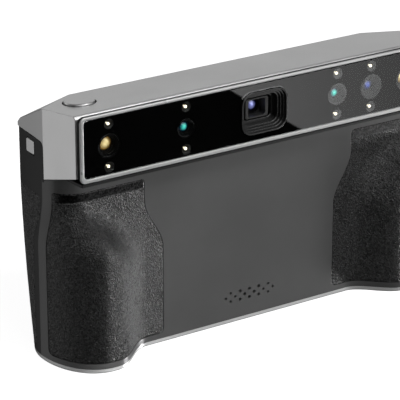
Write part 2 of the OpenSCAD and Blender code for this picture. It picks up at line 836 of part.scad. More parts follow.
module speaker() {
  color(black) in_frame() {
    difference() {
      upright(inside_y + 0.35, 5) translate([0, hole_z])
        rounded_rect(speaker_w, speaker_h, 3);
      upright(inside_y, 1.4) translate([0, hole_z])
        rounded_rect(speaker_w - 4, speaker_h - 4, 3);
    }
  }
}

module speaker_mesh() {
  color(steel) in_frame()
    upright(inside_y + 0.05, 0.25) translate([0, hole_z])
      rounded_rect(speaker_w - 1, speaker_h - 1, 2.5);
}

antenna_y = 15;
antenna_d = 8;
antenna_z = top_z(antenna_y + antenna_d) - head_wall - 0.75;

module wifi_antenna() {
  color("sienna") in_frame() translate([-58, antenna_y, antenna_z])
    cube([34, antenna_d, 0.6]);
}

// ---- side panel: power button and usb -----------------------------------------

power_y = 30.7;
power_z = 84.9;
power_x = 85.9;
power_gap = 0.35;
stem_in = 0.6;
switch_x = 80.7;
shelf_w = 5.6;
flange_x = 82.4;
flange_in_x = 81.6;

// Outline in y and z, drawn out along x from x0 to x1.
module sideways(x0, x1) {
  translate([x0, 0, 0]) rotate([90, 0, 90]) linear_extrude(x1 - x0) children();
}

module power_cut() {
  sideways(-90, -80) translate([power_y, power_z])
    rounded_rect(power_w + 2 * power_gap, power_h + 2 * power_gap, 1.1);
}

module power_button() {
  color(silver) in_frame() {
    sideways(-power_x, -flange_x) translate([power_y, power_z])
      rounded_rect(power_w, power_h, 0.8);
    sideways(-flange_x, -flange_in_x) translate([power_y, power_z])
      rounded_rect(power_w + 2.4, power_h + 2.4, 1.2);
    sideways(-flange_in_x, -switch_x + stem_in) translate([power_y, power_z]) circle(1);
  }
}

module power_switch() {
  color(black) in_frame() difference() {
    sideways(-switch_x, -switch_x + 3) translate([power_y, power_z])
      square(6, center = true);
    sideways(-switch_x - 1, -switch_x + stem_in + power_travel + 0.3)
      translate([power_y, power_z]) circle(1.3);
  }
}

usb_y = 31;
usb_z = 83;
usb_w = 8.94;
usb_h = 3.2;
usb_wall = 0.3;
usb_back_x = 77;

module usb_cut() {
  sideways(78, 90) translate([usb_y, usb_z])
    rounded_rect(usb_w + 2 * usb_wall + 0.3, usb_h + 2 * usb_wall + 0.3, 1.9);
}

module usb_socket() {
  color(steel) in_frame() {
    difference() {
      sideways(usb_back_x, 84.9) translate([usb_y, usb_z])
        rounded_rect(usb_w + 2 * usb_wall, usb_h + 2 * usb_wall, 1.8);
      sideways(usb_back_x + 0.6, 90) translate([usb_y, usb_z]) rounded_rect(usb_w, usb_h, 1.55);
    }
    sideways(usb_back_x + 0.5, 83.4) translate([usb_y, usb_z]) square([6.7, 0.7], center = true);
  }
}

// ---- scan button --------------------------------------------------------------

scan_cap_r = (scan_d - 0.7) / 2;
scan_stem = 5.2;
scan_stem_r = 1.2;
scan_skirt = 3.1;
scan_proud = 0.8;

module scan_button() {
  color(silver) in_frame() at_scan_button() {
    translate([0, 0, scan_proud - scan_skirt]) cylinder(h = scan_skirt, r = scan_cap_r);
    translate([0, 0, -scan_skirt]) cylinder(h = 0.85, r = scan_cap_r + 1.1);
    translate([0, 0, -scan_stem]) cylinder(h = 2.2, r = scan_stem_r);
  }
}

module scan_switch() {
  color(black) in_frame() at_scan_button() difference() {
    translate([-3, -3, -8]) cube([6, 6, 3.4]);
    translate([0, 0, -scan_stem - scan_travel - 0.4]) cylinder(h = 3, r = scan_stem_r + 0.3);
  }
}

// ---- display ------------------------------------------------------------------

bracket_x = 56;
bracket_w = 8;
bracket_gap = 0.3;
slide_clear = 0.7;
foot_y = 33.5;
foot_t = 2;
foot_z = 76;
foot_screw_zs = [79, 83.5];

module bracket_cuts() {
  for (x = [-1, 1])
    translate([x * bracket_x - bracket_w / 2 - 0.1, 25, hinge_z - barrel_r])
      cube([bracket_w + 0.2, 20, 20]);
}

module hinge_bracket(x) {
  color(steel) in_frame() translate([x, 0, 0]) difference() {
    union() {
      translate([-bracket_w / 2, hinge_y, hinge_z]) rotate([0, 90, 0])
        cylinder(h = bracket_w, r = barrel_r);
      translate([-bracket_w / 2, foot_y, hinge_z - barrel_r + 0.1])
        cube([bracket_w, hinge_y - foot_y, 2.8]);
      translate([-bracket_w / 2 - 2, foot_y, foot_z])
        cube([bracket_w + 4, foot_t, hinge_z - barrel_r + 2.9 - foot_z]);
    }
    translate([-big / 2, hinge_y, hinge_z]) rotate([0, 90, 0])
      cylinder(h = big, r = pin_r + 0.05);
    for (z = foot_screw_zs) translate([0, 0, z]) upright(25, 20) circle(1.15);
  }
}

module hinge_bracket_left() { hinge_bracket(-bracket_x); }
module hinge_bracket_right() { hinge_bracket(bracket_x); }

module hinge_pins() {
  color(steel) in_frame() for (x = [-1, 1])
    translate([x * bracket_x - 7.5, hinge_y, hinge_z]) rotate([0, 90, 0])
      cylinder(h = 15, r = pin_r);
}

module at_hinge() {
  translate([0, hinge_y, hinge_z]) rotate([-screen_lean, 0, 0]) children();
}

screen_rim = 2;
hinge_gap_h = 6;
panel_inset = 4;

module display_housing() {
  color(dark) in_frame() at_hinge() difference() {
    union() {
      rotate([0, 90, 0]) translate([0, 0, -screen_x]) cylinder(h = 2 * screen_x, r = barrel_r);
      upright(-barrel_r, screen_t) translate([0, -screen_len / 2])
        difference() {
          rounded_rect(2 * screen_x, screen_len, 4);
          translate([0, screen_len / 2]) square([2 * screen_x + 1, 8], center = true);
        }
      translate([-screen_x, -barrel_r, -hinge_gap_h])
        cube([2 * screen_x, screen_t, hinge_gap_h]);
    }
    upright(-barrel_r + 1.6, 20) translate([0, screen_zc])
      rounded_rect(screen_w + 0.2, screen_h + 0.2, 2.5);
    for (x = [-1, 1])
      translate([x * bracket_x - bracket_w / 2 - bracket_gap, -20, -barrel_r - slide_clear])
        cube([bracket_w + 2 * bracket_gap, 40, 20]);
    for (x = [-1, 1]) translate([x * bracket_x - 7.6, 0, 0]) rotate([0, 90, 0])
      cylinder(h = 15.2, r = pin_r);
  }
}

screen_w = 2 * (screen_x - screen_rim) - 0.2;
screen_h = screen_len - hinge_gap_h - 2 * screen_rim + 0.8;
screen_zc = -(screen_len + hinge_gap_h) / 2;

module display_bezel() {
  color(black) in_frame() at_hinge() difference() {
    upright(-0.4, barrel_r - 0.5) translate([0, screen_zc])
      rounded_rect(screen_w, screen_h, 2.4);
    upright(-1, 9) translate([0, screen_zc])
      rounded_rect(screen_w - panel_inset, screen_h - panel_inset, 1);
  }
}

module display_panel() {
  color("midnightblue") in_frame() at_hinge()
    upright(1, barrel_r - 1.9) translate([0, screen_zc])
      rounded_rect(screen_w - panel_inset - 0.2, screen_h - panel_inset - 0.2, 0.9);
}

module display_glass() {
  color(black, 0.8) in_frame() at_hinge()
    upright(barrel_r - 0.85, 0.8) translate([0, screen_zc])
      rounded_rect(screen_w, screen_h, 2.4);
}

module display_board() {
  color(board_green) in_frame() at_hinge()
    upright(-2.2, 1) translate([0, screen_zc]) square([96, 42], center = true);
}

// ---- fasteners ----------------------------------------------------------------

case_screw_y = 16.5;
seat_deep = 2.15;

module case_screws() {
  color(steel) in_frame() for (x = [-1, 1], z = case_screw_zs)
    translate([x * case_screw_x, 0, z]) {
      upright(case_screw_y, floor_y(z) - seat_deep - case_screw_y) circle(screw_r);
      difference() {
        upright(floor_y(z) - seat_deep, 1.4) circle(2.1);
        upright(floor_y(z) - 1.6, 2) circle(0.9, $fn = 6);
      }
    }
}

module bracket_screws() {
  color(steel) in_frame() for (x = [-bracket_x, bracket_x], z = foot_screw_zs)
    translate([x, 0, z]) {
      upright(foot_y - 0.1, 3.7) circle(screw_r);
      difference() {
        upright(foot_y - 1.3, 1.25) circle(1.9);
        upright(foot_y - 2, 1.3) circle(0.9, $fn = 6);
      }
    }
}

module base_screws() {
  color(steel) in_frame() for (x = base_screw_xs) translate([x, insert_y, 0]) {
    translate([0, 0, 1.3]) cylinder(h = 8, r = 1.25);
    difference() {
      translate([0, 0, 0.2]) cylinder(h = 1.15, r = 2.2);
      translate([0, 0, -0.5]) cylinder(h = 1.4, r = 1.1, $fn = 6);
    }
  }
}

head_housing();
bezel_carrier();
front_bezel();
front_glass();
window_mask();
front_shell();
rear_shell();
bottom_plate();
grip_pad_left();
grip_pad_right();
side_pad_left();
side_pad_right();
projector_hood();
projector_module();
projector_lens();
far_camera_left();
far_camera_right();
near_camera_left();
near_camera_right();
rgb_camera();
far_lens_left();
far_lens_right();
near_lens_left();
near_lens_right();
rgb_lens();
led_board();
fill_leds();
optical_bench();
bench_screws();
main_board();
board_chips();
heat_spreader();
battery_left();
battery_right();
battery_cradles();
speaker();
speaker_mesh();
usb_socket();
wifi_antenna();
tripod_insert();
case_screws();
base_screws();
bracket_screws();
scan_switch();
power_switch();
scan_button();
power_button();
hinge_bracket_left();
hinge_bracket_right();
hinge_pins();
display_housing();
display_bezel();
display_panel();
display_glass();
display_board();
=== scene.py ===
import json
import math

import bmesh
import bpy
import numpy as np
from mathutils import Matrix, Vector


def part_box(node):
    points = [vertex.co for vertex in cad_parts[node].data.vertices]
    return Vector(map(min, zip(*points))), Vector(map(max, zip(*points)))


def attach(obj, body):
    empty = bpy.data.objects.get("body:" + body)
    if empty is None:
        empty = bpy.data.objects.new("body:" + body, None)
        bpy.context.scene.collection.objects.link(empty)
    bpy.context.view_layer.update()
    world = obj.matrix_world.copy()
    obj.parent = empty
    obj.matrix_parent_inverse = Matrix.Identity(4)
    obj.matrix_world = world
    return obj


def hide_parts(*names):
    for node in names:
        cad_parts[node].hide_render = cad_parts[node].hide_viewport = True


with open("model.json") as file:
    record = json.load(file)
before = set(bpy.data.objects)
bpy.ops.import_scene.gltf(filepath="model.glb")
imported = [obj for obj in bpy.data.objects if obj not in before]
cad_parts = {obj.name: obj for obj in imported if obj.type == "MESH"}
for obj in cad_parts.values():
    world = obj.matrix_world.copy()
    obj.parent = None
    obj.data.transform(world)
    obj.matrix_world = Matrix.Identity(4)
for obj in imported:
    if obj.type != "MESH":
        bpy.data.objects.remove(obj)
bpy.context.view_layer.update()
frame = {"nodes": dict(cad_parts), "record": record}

# Shapes below are in millimetres, with y measured from the front of the window.
# place() turns them into the frame's metres.
MM = 0.001


def box_mm(node):
    low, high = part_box(node)
    return low / MM, high / MM


MID_Y = -box_mm("front_bezel")[0].y
COLUMN_X = box_mm("bottom_plate")[1].x
HEAD_X = box_mm("head_housing")[1].x
BODY_H = box_mm("head_housing")[1].z
BASE_H = box_mm("front_shell")[0].z
GLASS_LOW, GLASS_HIGH = box_mm("front_glass")
GLASS_X = GLASS_HIGH.x
GLASS_W = 2 * GLASS_X
GLASS_H = GLASS_HIGH.z - GLASS_LOW.z
GLASS_ZC = (GLASS_HIGH.z + GLASS_LOW.z) / 2
HOOD_LOW, HOOD_HIGH = box_mm("projector_hood")
LENS_Z = (HOOD_LOW.z + HOOD_HIGH.z) / 2
HOOD_R = 5.0
GRIP_FRONT = -(box_mm("grip_pad_right")[0].y + MID_Y)
NOTCH_X = box_mm("display_housing")[1].x + 0.9
WALL = 2.0
PLATE_Y = 9.1
TOP_SLOPE = 0.09
CREST_Y = 3.1
EDGE_Y = 2.05
FRONT_CORNER_X = 82.45
NECK_CORNER = (74.5, 20.3)
SIDE_Y = 22.0
CAP_Z = 89.5
BACK_CORNER_X = 84.5
BACK_EDGE_R = 1.4
BACK_INSIDE_R = 5.0
BACK_Y = 42.7
NECK_TOP_Z = 72.0
PANEL_FRONT_Y = 20.4


def place(p):
    return Vector((p[0] * MM, (p[1] - MID_Y) * MM, p[2] * MM))


# ---- the body's surface -----------------------------------------------------------


def smooth(t):
    c = min(1.0, max(0.0, t))
    return c * c * (3 - 2 * c)


def mix(a, b, t):
    return a + (b - a) * t


def neck_share(x, z):
    """0 in the grip column and 1 in the neck. The inner side of the column ends lower."""
    middle = mix(48, 57.5, smooth((x - 56) / 18))
    return smooth((z - middle + 10) / 20)


NOSE_X = 70.0
NOSE_FLAT = 2.0
NOSE_INNER = 20.0
INNER_X = NOSE_X - NOSE_FLAT - NOSE_INNER


def past_flat(u):
    return max(0.0, u - 1.1) / 0.9


def column_point(u):
    """u runs 0..1 down the outer flank, 1..2 over the nose and 2..3 to the middle."""
    a = math.radians(90 * u)
    if u <= 1:
        return (NOSE_X + (COLUMN_X - NOSE_X) * math.cos(a),
                SIDE_Y - (SIDE_Y + GRIP_FRONT) * math.sin(a))
    if u <= 2:
        fall = (1 - math.cos(math.pi * past_flat(u))) / 2
        return (NOSE_X - NOSE_FLAT * min(1, 10 * (u - 1)) - NOSE_INNER * past_flat(u),
                mix(-GRIP_FRONT, PLATE_Y, fall))
    return mix(INNER_X, 0, u - 2), PLATE_Y


def neck_point(u):
    a = math.radians(90 * u)
    if u <= 1:
        lift = (SIDE_Y - NECK_CORNER[1]) * (1 - smooth(4 * u))
        return (NECK_CORNER[0] + (HEAD_X - NECK_CORNER[0]) * math.cos(a),
                NECK_CORNER[1] - (NECK_CORNER[1] - PLATE_Y) * math.sin(a) + lift)
    if u <= 2:
        return mix(NECK_CORNER[0], INNER_X, u - 1), PLATE_Y
    return mix(INNER_X, 0, u - 2), PLATE_Y


def front_point(u, z):
    c, n = column_point(u), neck_point(u)
    t = neck_share(c[0], z)
    return mix(c[0], n[0], t), mix(c[1], n[1], t)


def inset_point(outline, u, z, inset, low, high, turn):
    """A point of the outline, moved in by inset along its normal in plan."""
    step = 0.02
    a, b = outline(max(u - step, low), z), outline(min(u + step, high), z)
    dx, dy = b[0] - a[0], b[1] - a[1]
    length = math.hypot(dx, dy)
    p = outline(u, z)
    return p[0] - turn * inset * -dy / length, p[1] - turn * inset * dx / length


def front_inset(u, z, inset):
    x, y = inset_point(front_point, u, z, inset, 0.0, 3.0, 1)
    return max(x, 0.0), y


def rear_line(z):
    return BACK_Y - 7.5 * (max(0.0, NECK_TOP_Z - z) / NECK_TOP_Z) ** 1.6


def rear_point(v, z, r=BACK_EDGE_R):
    """v runs 0..1 along the side, 1..2 round the back corner and 2..3 inward."""
    start_y = 20.5 if z > 73.5 else SIDE_Y + 0.05
    side_x = mix(COLUMN_X, HEAD_X, smooth((z - 47.5) / 15))
    y_back, x_arc = rear_line(z), BACK_CORNER_X - r
    if v <= 1:
        return mix(side_x, BACK_CORNER_X, v * v), mix(start_y, y_back - r, v)
    if v <= 2:
        a = math.radians(90 * (v - 1))
        return x_arc + r * math.cos(a), y_back - r + r * math.sin(a)
    return mix(x_arc, 68.5, v - 2), y_back


def rear_inside(v, z):
    return rear_point(v, z, BACK_INSIDE_R)


def rear_inset(v, z, inset):
    """The surface has a tight corner, and what lies deeper inside it a wide one."""
    outline = rear_point if inset < BACK_EDGE_R else rear_inside
    return inset_point(outline, v, z, inset, 0.0, 3.0, -1)


def head_bottom(y):
    return 80.2 - 0.29 * (y - EDGE_Y)


def top_z(y):
    return BODY_H - TOP_SLOPE * (y - CREST_Y)


# ---- materials --------------------------------------------------------------------


class Paint:
    """One procedural material, with short calls for the nodes that the finishes share."""

    def __init__(self, name, base, roughness, metallic=0.0, ior=1.5):
        self.material = bpy.data.materials.new(name)
        self.material.use_nodes = True
        self.tree = self.material.node_tree
        self.shader = self.tree.nodes["Principled BSDF"]
        self.shader.inputs["Base Color"].default_value = (*base, 1)
        self.shader.inputs["Roughness"].default_value = roughness
        self.shader.inputs["Metallic"].default_value = metallic
        self.shader.inputs["IOR"].default_value = ior
        self.coordinates = self.node("ShaderNodeTexCoord").outputs["Object"]

    def node(self, kind):
        return self.tree.nodes.new(kind)

    def link(self, a, b):
        self.tree.links.new(a, b)

    def noise(self, scale, detail=3.0, stretch=None):
        n = self.node("ShaderNodeTexNoise")
        n.inputs["Scale"].default_value = scale
        n.inputs["Detail"].default_value = detail
        source = self.coordinates
        if stretch:
            mapping = self.node("ShaderNodeMapping")
            mapping.inputs["Scale"].default_value = stretch
            self.link(source, mapping.inputs["Vector"])
            source = mapping.outputs["Vector"]
        self.link(source, n.inputs["Vector"])
        return n.outputs["Fac"]

    def spread(self, source, low, high, start=0.3, end=0.7):
        """source from start to end becomes a value from low to high."""
        n = self.node("ShaderNodeMapRange")
        n.inputs["From Min"].default_value = start
        n.inputs["From Max"].default_value = end
        n.inputs["To Min"].default_value = low
        n.inputs["To Max"].default_value = high
        self.link(source, n.inputs["Value"])
        return n.outputs["Result"]

    def times(self, a, b):
        n = self.node("ShaderNodeMath")
        n.operation = "MULTIPLY"
        self.link(a, n.inputs[0])
        self.link(b, n.inputs[1])
        return n.outputs[0]

    def colours(self, source, low, high, start=0.3, end=0.7):
        n = self.node("ShaderNodeValToRGB")
        n.color_ramp.elements[0].position = start
        n.color_ramp.elements[0].color = (*low, 1)
        n.color_ramp.elements[1].position = end
        n.color_ramp.elements[1].color = (*high, 1)
        self.link(source, n.inputs["Fac"])
        self.link(n.outputs["Color"], self.shader.inputs["Base Color"])

    def rough(self, source, low, high):
        self.link(self.spread(source, low, high), self.shader.inputs["Roughness"])

    def bump(self, source, distance, strength=1.0):
        n = self.node("ShaderNodeBump")
        n.inputs["Distance"].default_value = distance * MM
        n.inputs["Strength"].default_value = strength
        self.link(source, n.inputs["Height"])
        self.link(n.outputs["Normal"], self.shader.inputs["Normal"])


def grey(value):
    return (value, value, value)


def satin_metal(name, value, roughness, grain_mm=0.12, metallic=0.85):
    """Blasted and painted metal: a faint sparkle, and slow changes of gloss."""
    p = Paint(name, grey(value), roughness, metallic)
    fine, slow = p.noise(1 / (grain_mm * MM), 2), p.noise(45, 3)
    p.colours(fine, grey(value * 0.93), grey(value * 1.06))
    p.rough(slow, roughness - 0.04, roughness + 0.05)
    p.bump(fine, 0.012, 0.35)
    return p.material


def moulded(name, value, roughness, metallic=0.0, texture_mm=0.15, specular=0.3):
    """Moulded plastic with a fine spark-eroded texture."""
    p = Paint(name, grey(value), roughness, metallic)
    p.shader.inputs["Specular IOR Level"].default_value = specular
    fine, slow = p.noise(1 / (texture_mm * MM), 2), p.noise(30, 4)
    p.colours(slow, grey(value * 0.92), grey(value * 1.08))
    p.rough(fine, roughness - 0.05, roughness + 0.07)
    p.bump(fine, 0.015, 0.4)
    return p.material


def grip_rubber(name, smooth_from, smooth_to):
    """Black rubber with a pebbled grain that fades out towards the smooth upper band."""
    p = Paint(name, grey(0.02), 0.5, ior=1.55)
    axes = p.node("ShaderNodeSeparateXYZ")
    p.link(p.coordinates, axes.inputs["Vector"])
    grained = p.spread(axes.outputs["Z"], 1, 0.04, smooth_from * MM, smooth_to * MM)
    pebbles = p.node("ShaderNodeTexVoronoi")
    pebbles.inputs["Scale"].default_value = 1 / (0.5 * MM)
    p.link(p.coordinates, pebbles.inputs["Vector"])
    tones = p.node("ShaderNodeSeparateColor")
    p.link(pebbles.outputs["Color"], tones.inputs["Color"])
    fine = p.noise(1 / (0.3 * MM), 2)
    joined = p.node("ShaderNodeMath")
    joined.operation = "ADD"
    p.link(pebbles.outputs["Distance"], joined.inputs[0])
    p.link(fine, joined.inputs[1])
    p.colours(p.times(tones.outputs["Red"], grained), grey(0.001), grey(0.009), 0.2, 1.0)
    p.link(p.spread(tones.outputs["Green"], 0.22, 0.42, 0, 1), p.shader.inputs["Roughness"])
    p.link(p.spread(tones.outputs["Blue"], 0.15, 0.75, 0, 1),
           p.shader.inputs["Specular IOR Level"])
    p.bump(p.times(joined.outputs[0], grained), 0.25, 1.0)
    return p.material


def window_glass(name):
    """Clear glass that lets lamps through to what is behind it."""
    p = Paint(name, (0.96, 0.98, 0.98), 0.0, ior=1.52)
    p.shader.inputs["Transmission Weight"].default_value = 1.0
    clear = p.node("ShaderNodeBsdfTransparent")
    path, both = p.node("ShaderNodeLightPath"), p.node("ShaderNodeMixShader")
    out = p.tree.nodes["Material Output"]
    p.link(path.outputs["Is Shadow Ray"], both.inputs["Fac"])
    p.link(p.shader.outputs["BSDF"], both.inputs[1])
    p.link(clear.outputs["BSDF"], both.inputs[2])
    p.link(both.outputs["Shader"], out.inputs["Surface"])
    return p.material


def gloss_black(name, value=0.006, roughness=0.06, specular=0.5):
    p = Paint(name, grey(value), roughness)
    p.shader.inputs["Specular IOR Level"].default_value = specular
    p.rough(p.noise(60, 3), roughness * 0.7, roughness * 1.4)
    return p.material


def lens_painted_glint(name, rim, centre, x, radius_mm):
    """Lens glass in its coating colour with a painted highlight, lightest in the middle of the
    lens that sits at x and dark at its rim.
    """
    p = Paint(name, centre, 0.08, metallic=0.35)
    moved, length = p.node("ShaderNodeVectorMath"), p.node("ShaderNodeVectorMath")
    length.operation = "LENGTH"
    moved.operation = "MULTIPLY_ADD"
    moved.inputs[1].default_value = (1, 0, 1)
    moved.inputs[2].default_value = (-x * MM, 0, -LENS_Z * MM)
    p.link(p.coordinates, moved.inputs[0])
    p.link(moved.outputs["Vector"], length.inputs[0])
    away = p.spread(length.outputs["Value"], 0, 1, 0.1 * radius_mm * MM, radius_mm * MM)
    p.colours(away, centre, rim, 0.05, 0.8)
    # The same colours also glow faintly (Emission Strength 0.4): a painted glow, since the lens
    # is no lamp.
    ramp = p.shader.inputs["Base Color"].links[0].from_socket
    p.link(ramp, p.shader.inputs["Emission Color"])
    p.shader.inputs["Emission Strength"].default_value = 0.4
    p.shader.inputs["Coat Weight"].default_value = 1.0
    p.shader.inputs["Coat Roughness"].default_value = 0.03
    return p.material


def lit_led(name):
    p = Paint(name, (1.0, 0.92, 0.74), 0.3)
    p.colours(p.noise(900, 1), (1.0, 0.88, 0.66), (1.0, 0.95, 0.82))
    p.shader.inputs["Emission Color"].default_value = (1.0, 0.9, 0.68, 1)
    p.shader.inputs["Emission Strength"].default_value = 1.1
    return p.material


def circuit_board(name):
    p = Paint(name, (0.01, 0.05, 0.025), 0.35)
    traces = p.noise(700, 0, (1, 1, 6))
    p.colours(traces, (0.008, 0.04, 0.02), (0.03, 0.12, 0.06), 0.48, 0.52)
    p.bump(traces, 0.03, 0.3)
    return p.material


def turned(name, colour, roughness, stretch=(1, 1, 30)):
    p = Paint(name, colour, roughness, metallic=1.0)
    lines = p.noise(250, 2, stretch)
    p.colours(lines, tuple(0.88 * c for c in colour), colour)
    p.rough(lines, roughness - 0.06, roughness + 0.1)
    p.bump(lines, 0.01, 0.3)
    return p.material


def wrapped_cell(name):
    p = Paint(name, (0.05, 0.3, 0.2), 0.3)
    p.colours(p.noise(80, 2), (0.04, 0.26, 0.17), (0.06, 0.34, 0.23))
    return p.material


def film(name):
    p = Paint(name, (0.35, 0.16, 0.04), 0.35)
    p.colours(p.noise(300, 1, (1, 5, 1)), (0.28, 0.12, 0.03), (0.42, 0.2, 0.06), 0.45, 0.55)
    return p.material


PAD_Z0 = 4.3
PAD_Z1 = 70.9
SIDE_PAD_Z1 = 67.0
SMOOTH_BAND = 3.5
materials = {
    "silver_paint": satin_metal("silver_paint", 0.58, 0.34),
    "bezel_silver": satin_metal("bezel_silver", 0.5, 0.3, metallic=0.5),
    "base_silver": satin_metal("base_silver", 0.62, 0.34, metallic=0.4),
    "shell_grey": moulded("shell_grey", 0.085, 0.36, metallic=0.3),
    "shell_dark": moulded("shell_dark", 0.009, 0.45, specular=0.2),
    "black_plastic": moulded("black_plastic", 0.01, 0.42),
    "window_glass": window_glass("window_glass"),
    "grip_rubber": grip_rubber("grip_rubber", PAD_Z1 - SMOOTH_BAND - 0.8, PAD_Z1 - SMOOTH_BAND),
    "lens_amber": turned("lens_amber", (0.8, 0.6, 0.25), 0.2),
    "lens_teal": turned("lens_teal", (0.1, 0.5, 0.45), 0.2),
    "lens_blue": turned("lens_blue", (0.1, 0.12, 0.5), 0.2),
    "circuit_board": circuit_board("circuit_board"),
    "led_white": lit_led("led_white"),
    "bench_aluminium": turned("bench_aluminium", grey(0.6), 0.35, (1, 30, 1)),
    "cell_wrap": wrapped_cell("cell_wrap"),
    "screen_panel": gloss_black("screen_panel", 0.003, 0.12),
    "steel": turned("steel", grey(0.5), 0.3, (30, 1, 1)),
    "brass": turned("brass", (0.7, 0.5, 0.22), 0.28),
    "antenna_film": film("antenna_film"),
}
side_rubber = grip_rubber("side_rubber", SIDE_PAD_Z1 + 5, SIDE_PAD_Z1 + 6)
mask_black = gloss_black("mask_black", 0.001, 0.8, 0.0)
hood_black = moulded("hood_black", 0.006, 0.2, specular=0.6)
barrel_black = moulded("barrel_black", 0.002, 0.5, specular=0.04)
# Lighter grey for thin camera rims and the projector's end frame: partly grey trim, partly
# painted highlight on those edges.
grey_trim_and_painted_highlight = moulded("grey_trim_and_painted_highlight", 0.035, 0.3, specular=0.4)
board_black = moulded("board_black", 0.004, 0.6)
# Black of the bezel carrier, also used as painted shade on the bezel's hidden side faces in the
# groove.
carrier_black_and_groove_shade = moulded("carrier_black_and_groove_shade", 0.004, 0.6)
screen_black = gloss_black("screen_black")

SLOT_OF = {row["node"]: row["material_slot"] for row in frame["record"]["subparts"]}


def paint(piece, material):
    piece.data.materials.clear()
    piece.data.materials.append(material)


for node_name, node in frame["nodes"].items():
    paint(node, materials[SLOT_OF[node_name]])
paint(frame["nodes"]["window_mask"], mask_black)
paint(frame["nodes"]["led_board"], board_black)
paint(frame["nodes"]["bezel_carrier"], carrier_black_and_groove_shade)
paint(frame["nodes"]["display_glass"], screen_black)


# ---- mesh helpers -----------------------------------------------------------------


def build(name, points, faces):
    """A mesh object from points in millimetres, with all faces turned outward."""
    mesh = bpy.data.meshes.new(name)
    mesh.from_pydata([place(p) for p in points], [], faces)
    bm = bmesh.new()
    bm.from_mesh(mesh)
    bmesh.ops.remove_doubles(bm, verts=bm.verts, dist=0.0005 * MM)
    bmesh.ops.dissolve_degenerate(bm, edges=bm.edges, dist=0.0005 * MM)
    bmesh.ops.recalc_face_normals(bm, faces=bm.faces)
    bm.to_mesh(mesh)
    bm.free()
    piece = bpy.data.objects.new(name, mesh)
    bpy.context.scene.collection.objects.link(piece)
    return piece


def shade(piece, angle=32):
    """Smooth shading between sharp edges, with the large flats kept flat."""
    piece.data.shade_smooth()
    piece.data.set_sharp_from_angle(angle=math.radians(angle))
    m = piece.modifiers.new("normals", "WEIGHTED_NORMAL")
    m.keep_sharp = True
    bpy.context.view_layer.update()
    applied(piece)


def finish_piece(piece, material, node, body="scanner", angle=32):
    """Paints the piece, and makes it stand for that CAD node on that body."""
    shade(piece, angle)
    paint(piece, material)
    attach(piece, body)
    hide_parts(node)
    return piece


def sheet_faces(rows, cols, start=0, wrap=False):
    count = cols if wrap else cols - 1
    return [(start + r * cols + c, start + r * cols + (c + 1) % cols,
             start + (r + 1) * cols + (c + 1) % cols, start + (r + 1) * cols + c)
            for r in range(rows - 1) for c in range(count)]


def thick_sheet(name, outer, inner):
    """Closed solid between two grids of points."""
    rows, cols = len(outer), len(outer[0])
    points = [p for row in outer for p in row] + [p for row in inner for p in row]
    n = rows * cols
    faces = sheet_faces(rows, cols) + sheet_faces(rows, cols, n)
    rim = (list(range(cols)) + [r * cols + cols - 1 for r in range(1, rows)]
           + [(rows - 1) * cols + c for c in range(cols - 2, -1, -1)]
           + [r * cols for r in range(rows - 2, 0, -1)])
    for i, a in enumerate(rim):
        b = rim[(i + 1) % len(rim)]
        faces.append((a, b, b + n, a + n))
    return build(name, points, faces)


def loft(name, rings, closed=False):
    """Skin over rings of equal count: capped at both ends, or closed like a tube ring."""
    cols = len(rings[0])
    points = [p for ring in rings for p in ring]
    faces = sheet_faces(len(rings), cols, wrap=True)
    last = (len(rings) - 1) * cols
    if closed:
        faces += [(last + c, last + (c + 1) % cols, (c + 1) % cols, c)
                  for c in range(cols)]
    else:
        faces += [tuple(range(cols)), tuple(last + c for c in range(cols))]
    return build(name, points, faces)


def rounded_outline(w, h, r, steps=8):
    """Points of a rounded rectangle, round its middle."""
    corners = ((1, 1, 0), (-1, 1, 90), (-1, -1, 180), (1, -1, 270))
    return [(sx * (w / 2 - r) + r * math.cos(math.radians(turn + 90 * i / steps)),
             sz * (h / 2 - r) + r * math.sin(math.radians(turn + 90 * i / steps)))
            for sx, sz, turn in corners for i in range(steps + 1)]


def front_ring(w, h, r, y, x=0.0, z=None, steps=8):
    z = LENS_Z if z is None else z
    return [(x + a, y, z + b) for a, b in rounded_outline(w, h, r, steps)]


def lathe(name, profile, spot, closed=True, count=72, reshape=None):
    """Turned solid: profile is (radius, depth) pairs, and spot places (a, b, depth)."""
    rings = []
    for radius, depth in profile:
        ring = []
        for i in range(count):
            angle = 2 * math.pi * i / count
            r, d = reshape(radius, depth, angle) if reshape else (radius, depth)
            ring.append(spot(r * math.cos(angle), r * math.sin(angle), d))
        rings.append(ring)
    return loft(name, rings, closed)


def facing(x):
    """Places turned parts that look out of the window at x."""
    return lambda a, b, depth: (x + a, depth, LENS_Z + b)


def applied(piece):
    """Applies the piece's modifiers to its mesh."""
    graph = bpy.context.evaluated_depsgraph_get()
    mesh = bpy.data.meshes.new_from_object(piece.evaluated_get(graph))
    old = piece.data
    piece.modifiers.clear()
    piece.data = mesh
    bpy.data.meshes.remove(old)
    return piece


def cut(piece, cutters, operation="DIFFERENCE"):
    for cutter in cutters:
        m = piece.modifiers.new("cut", "BOOLEAN")
        m.operation = operation
        m.solver = "EXACT"
        m.object = cutter
    bpy.context.view_layer.update()
    applied(piece)
    for cutter in cutters:
        bpy.data.objects.remove(cutter)
    return piece


def prism(name, outline, x0, x1):
    """Outline in y and z, drawn out along x."""
    return loft(name, [[(x, y, z) for y, z in outline] for x in (x0, x1)])


def rod(name, x, z, r, y0, y1, count=40):
    return loft(name, [[(x + r * math.cos(2 * math.pi * i / count), y,
                         z + r * math.sin(2 * math.pi * i / count))
                        for i in range(count)] for y in (y0, y1)])


def bevel(piece, width, segments=3, angle=30):
    m = piece.modifiers.new("bevel", "BEVEL")
    m.width = width * MM
    m.segments = segments
    m.limit_method = "ANGLE"
    m.angle_limit = math.radians(angle)
    m.use_clamp_overlap = True
    bpy.context.view_layer.update()
    return applied(piece)


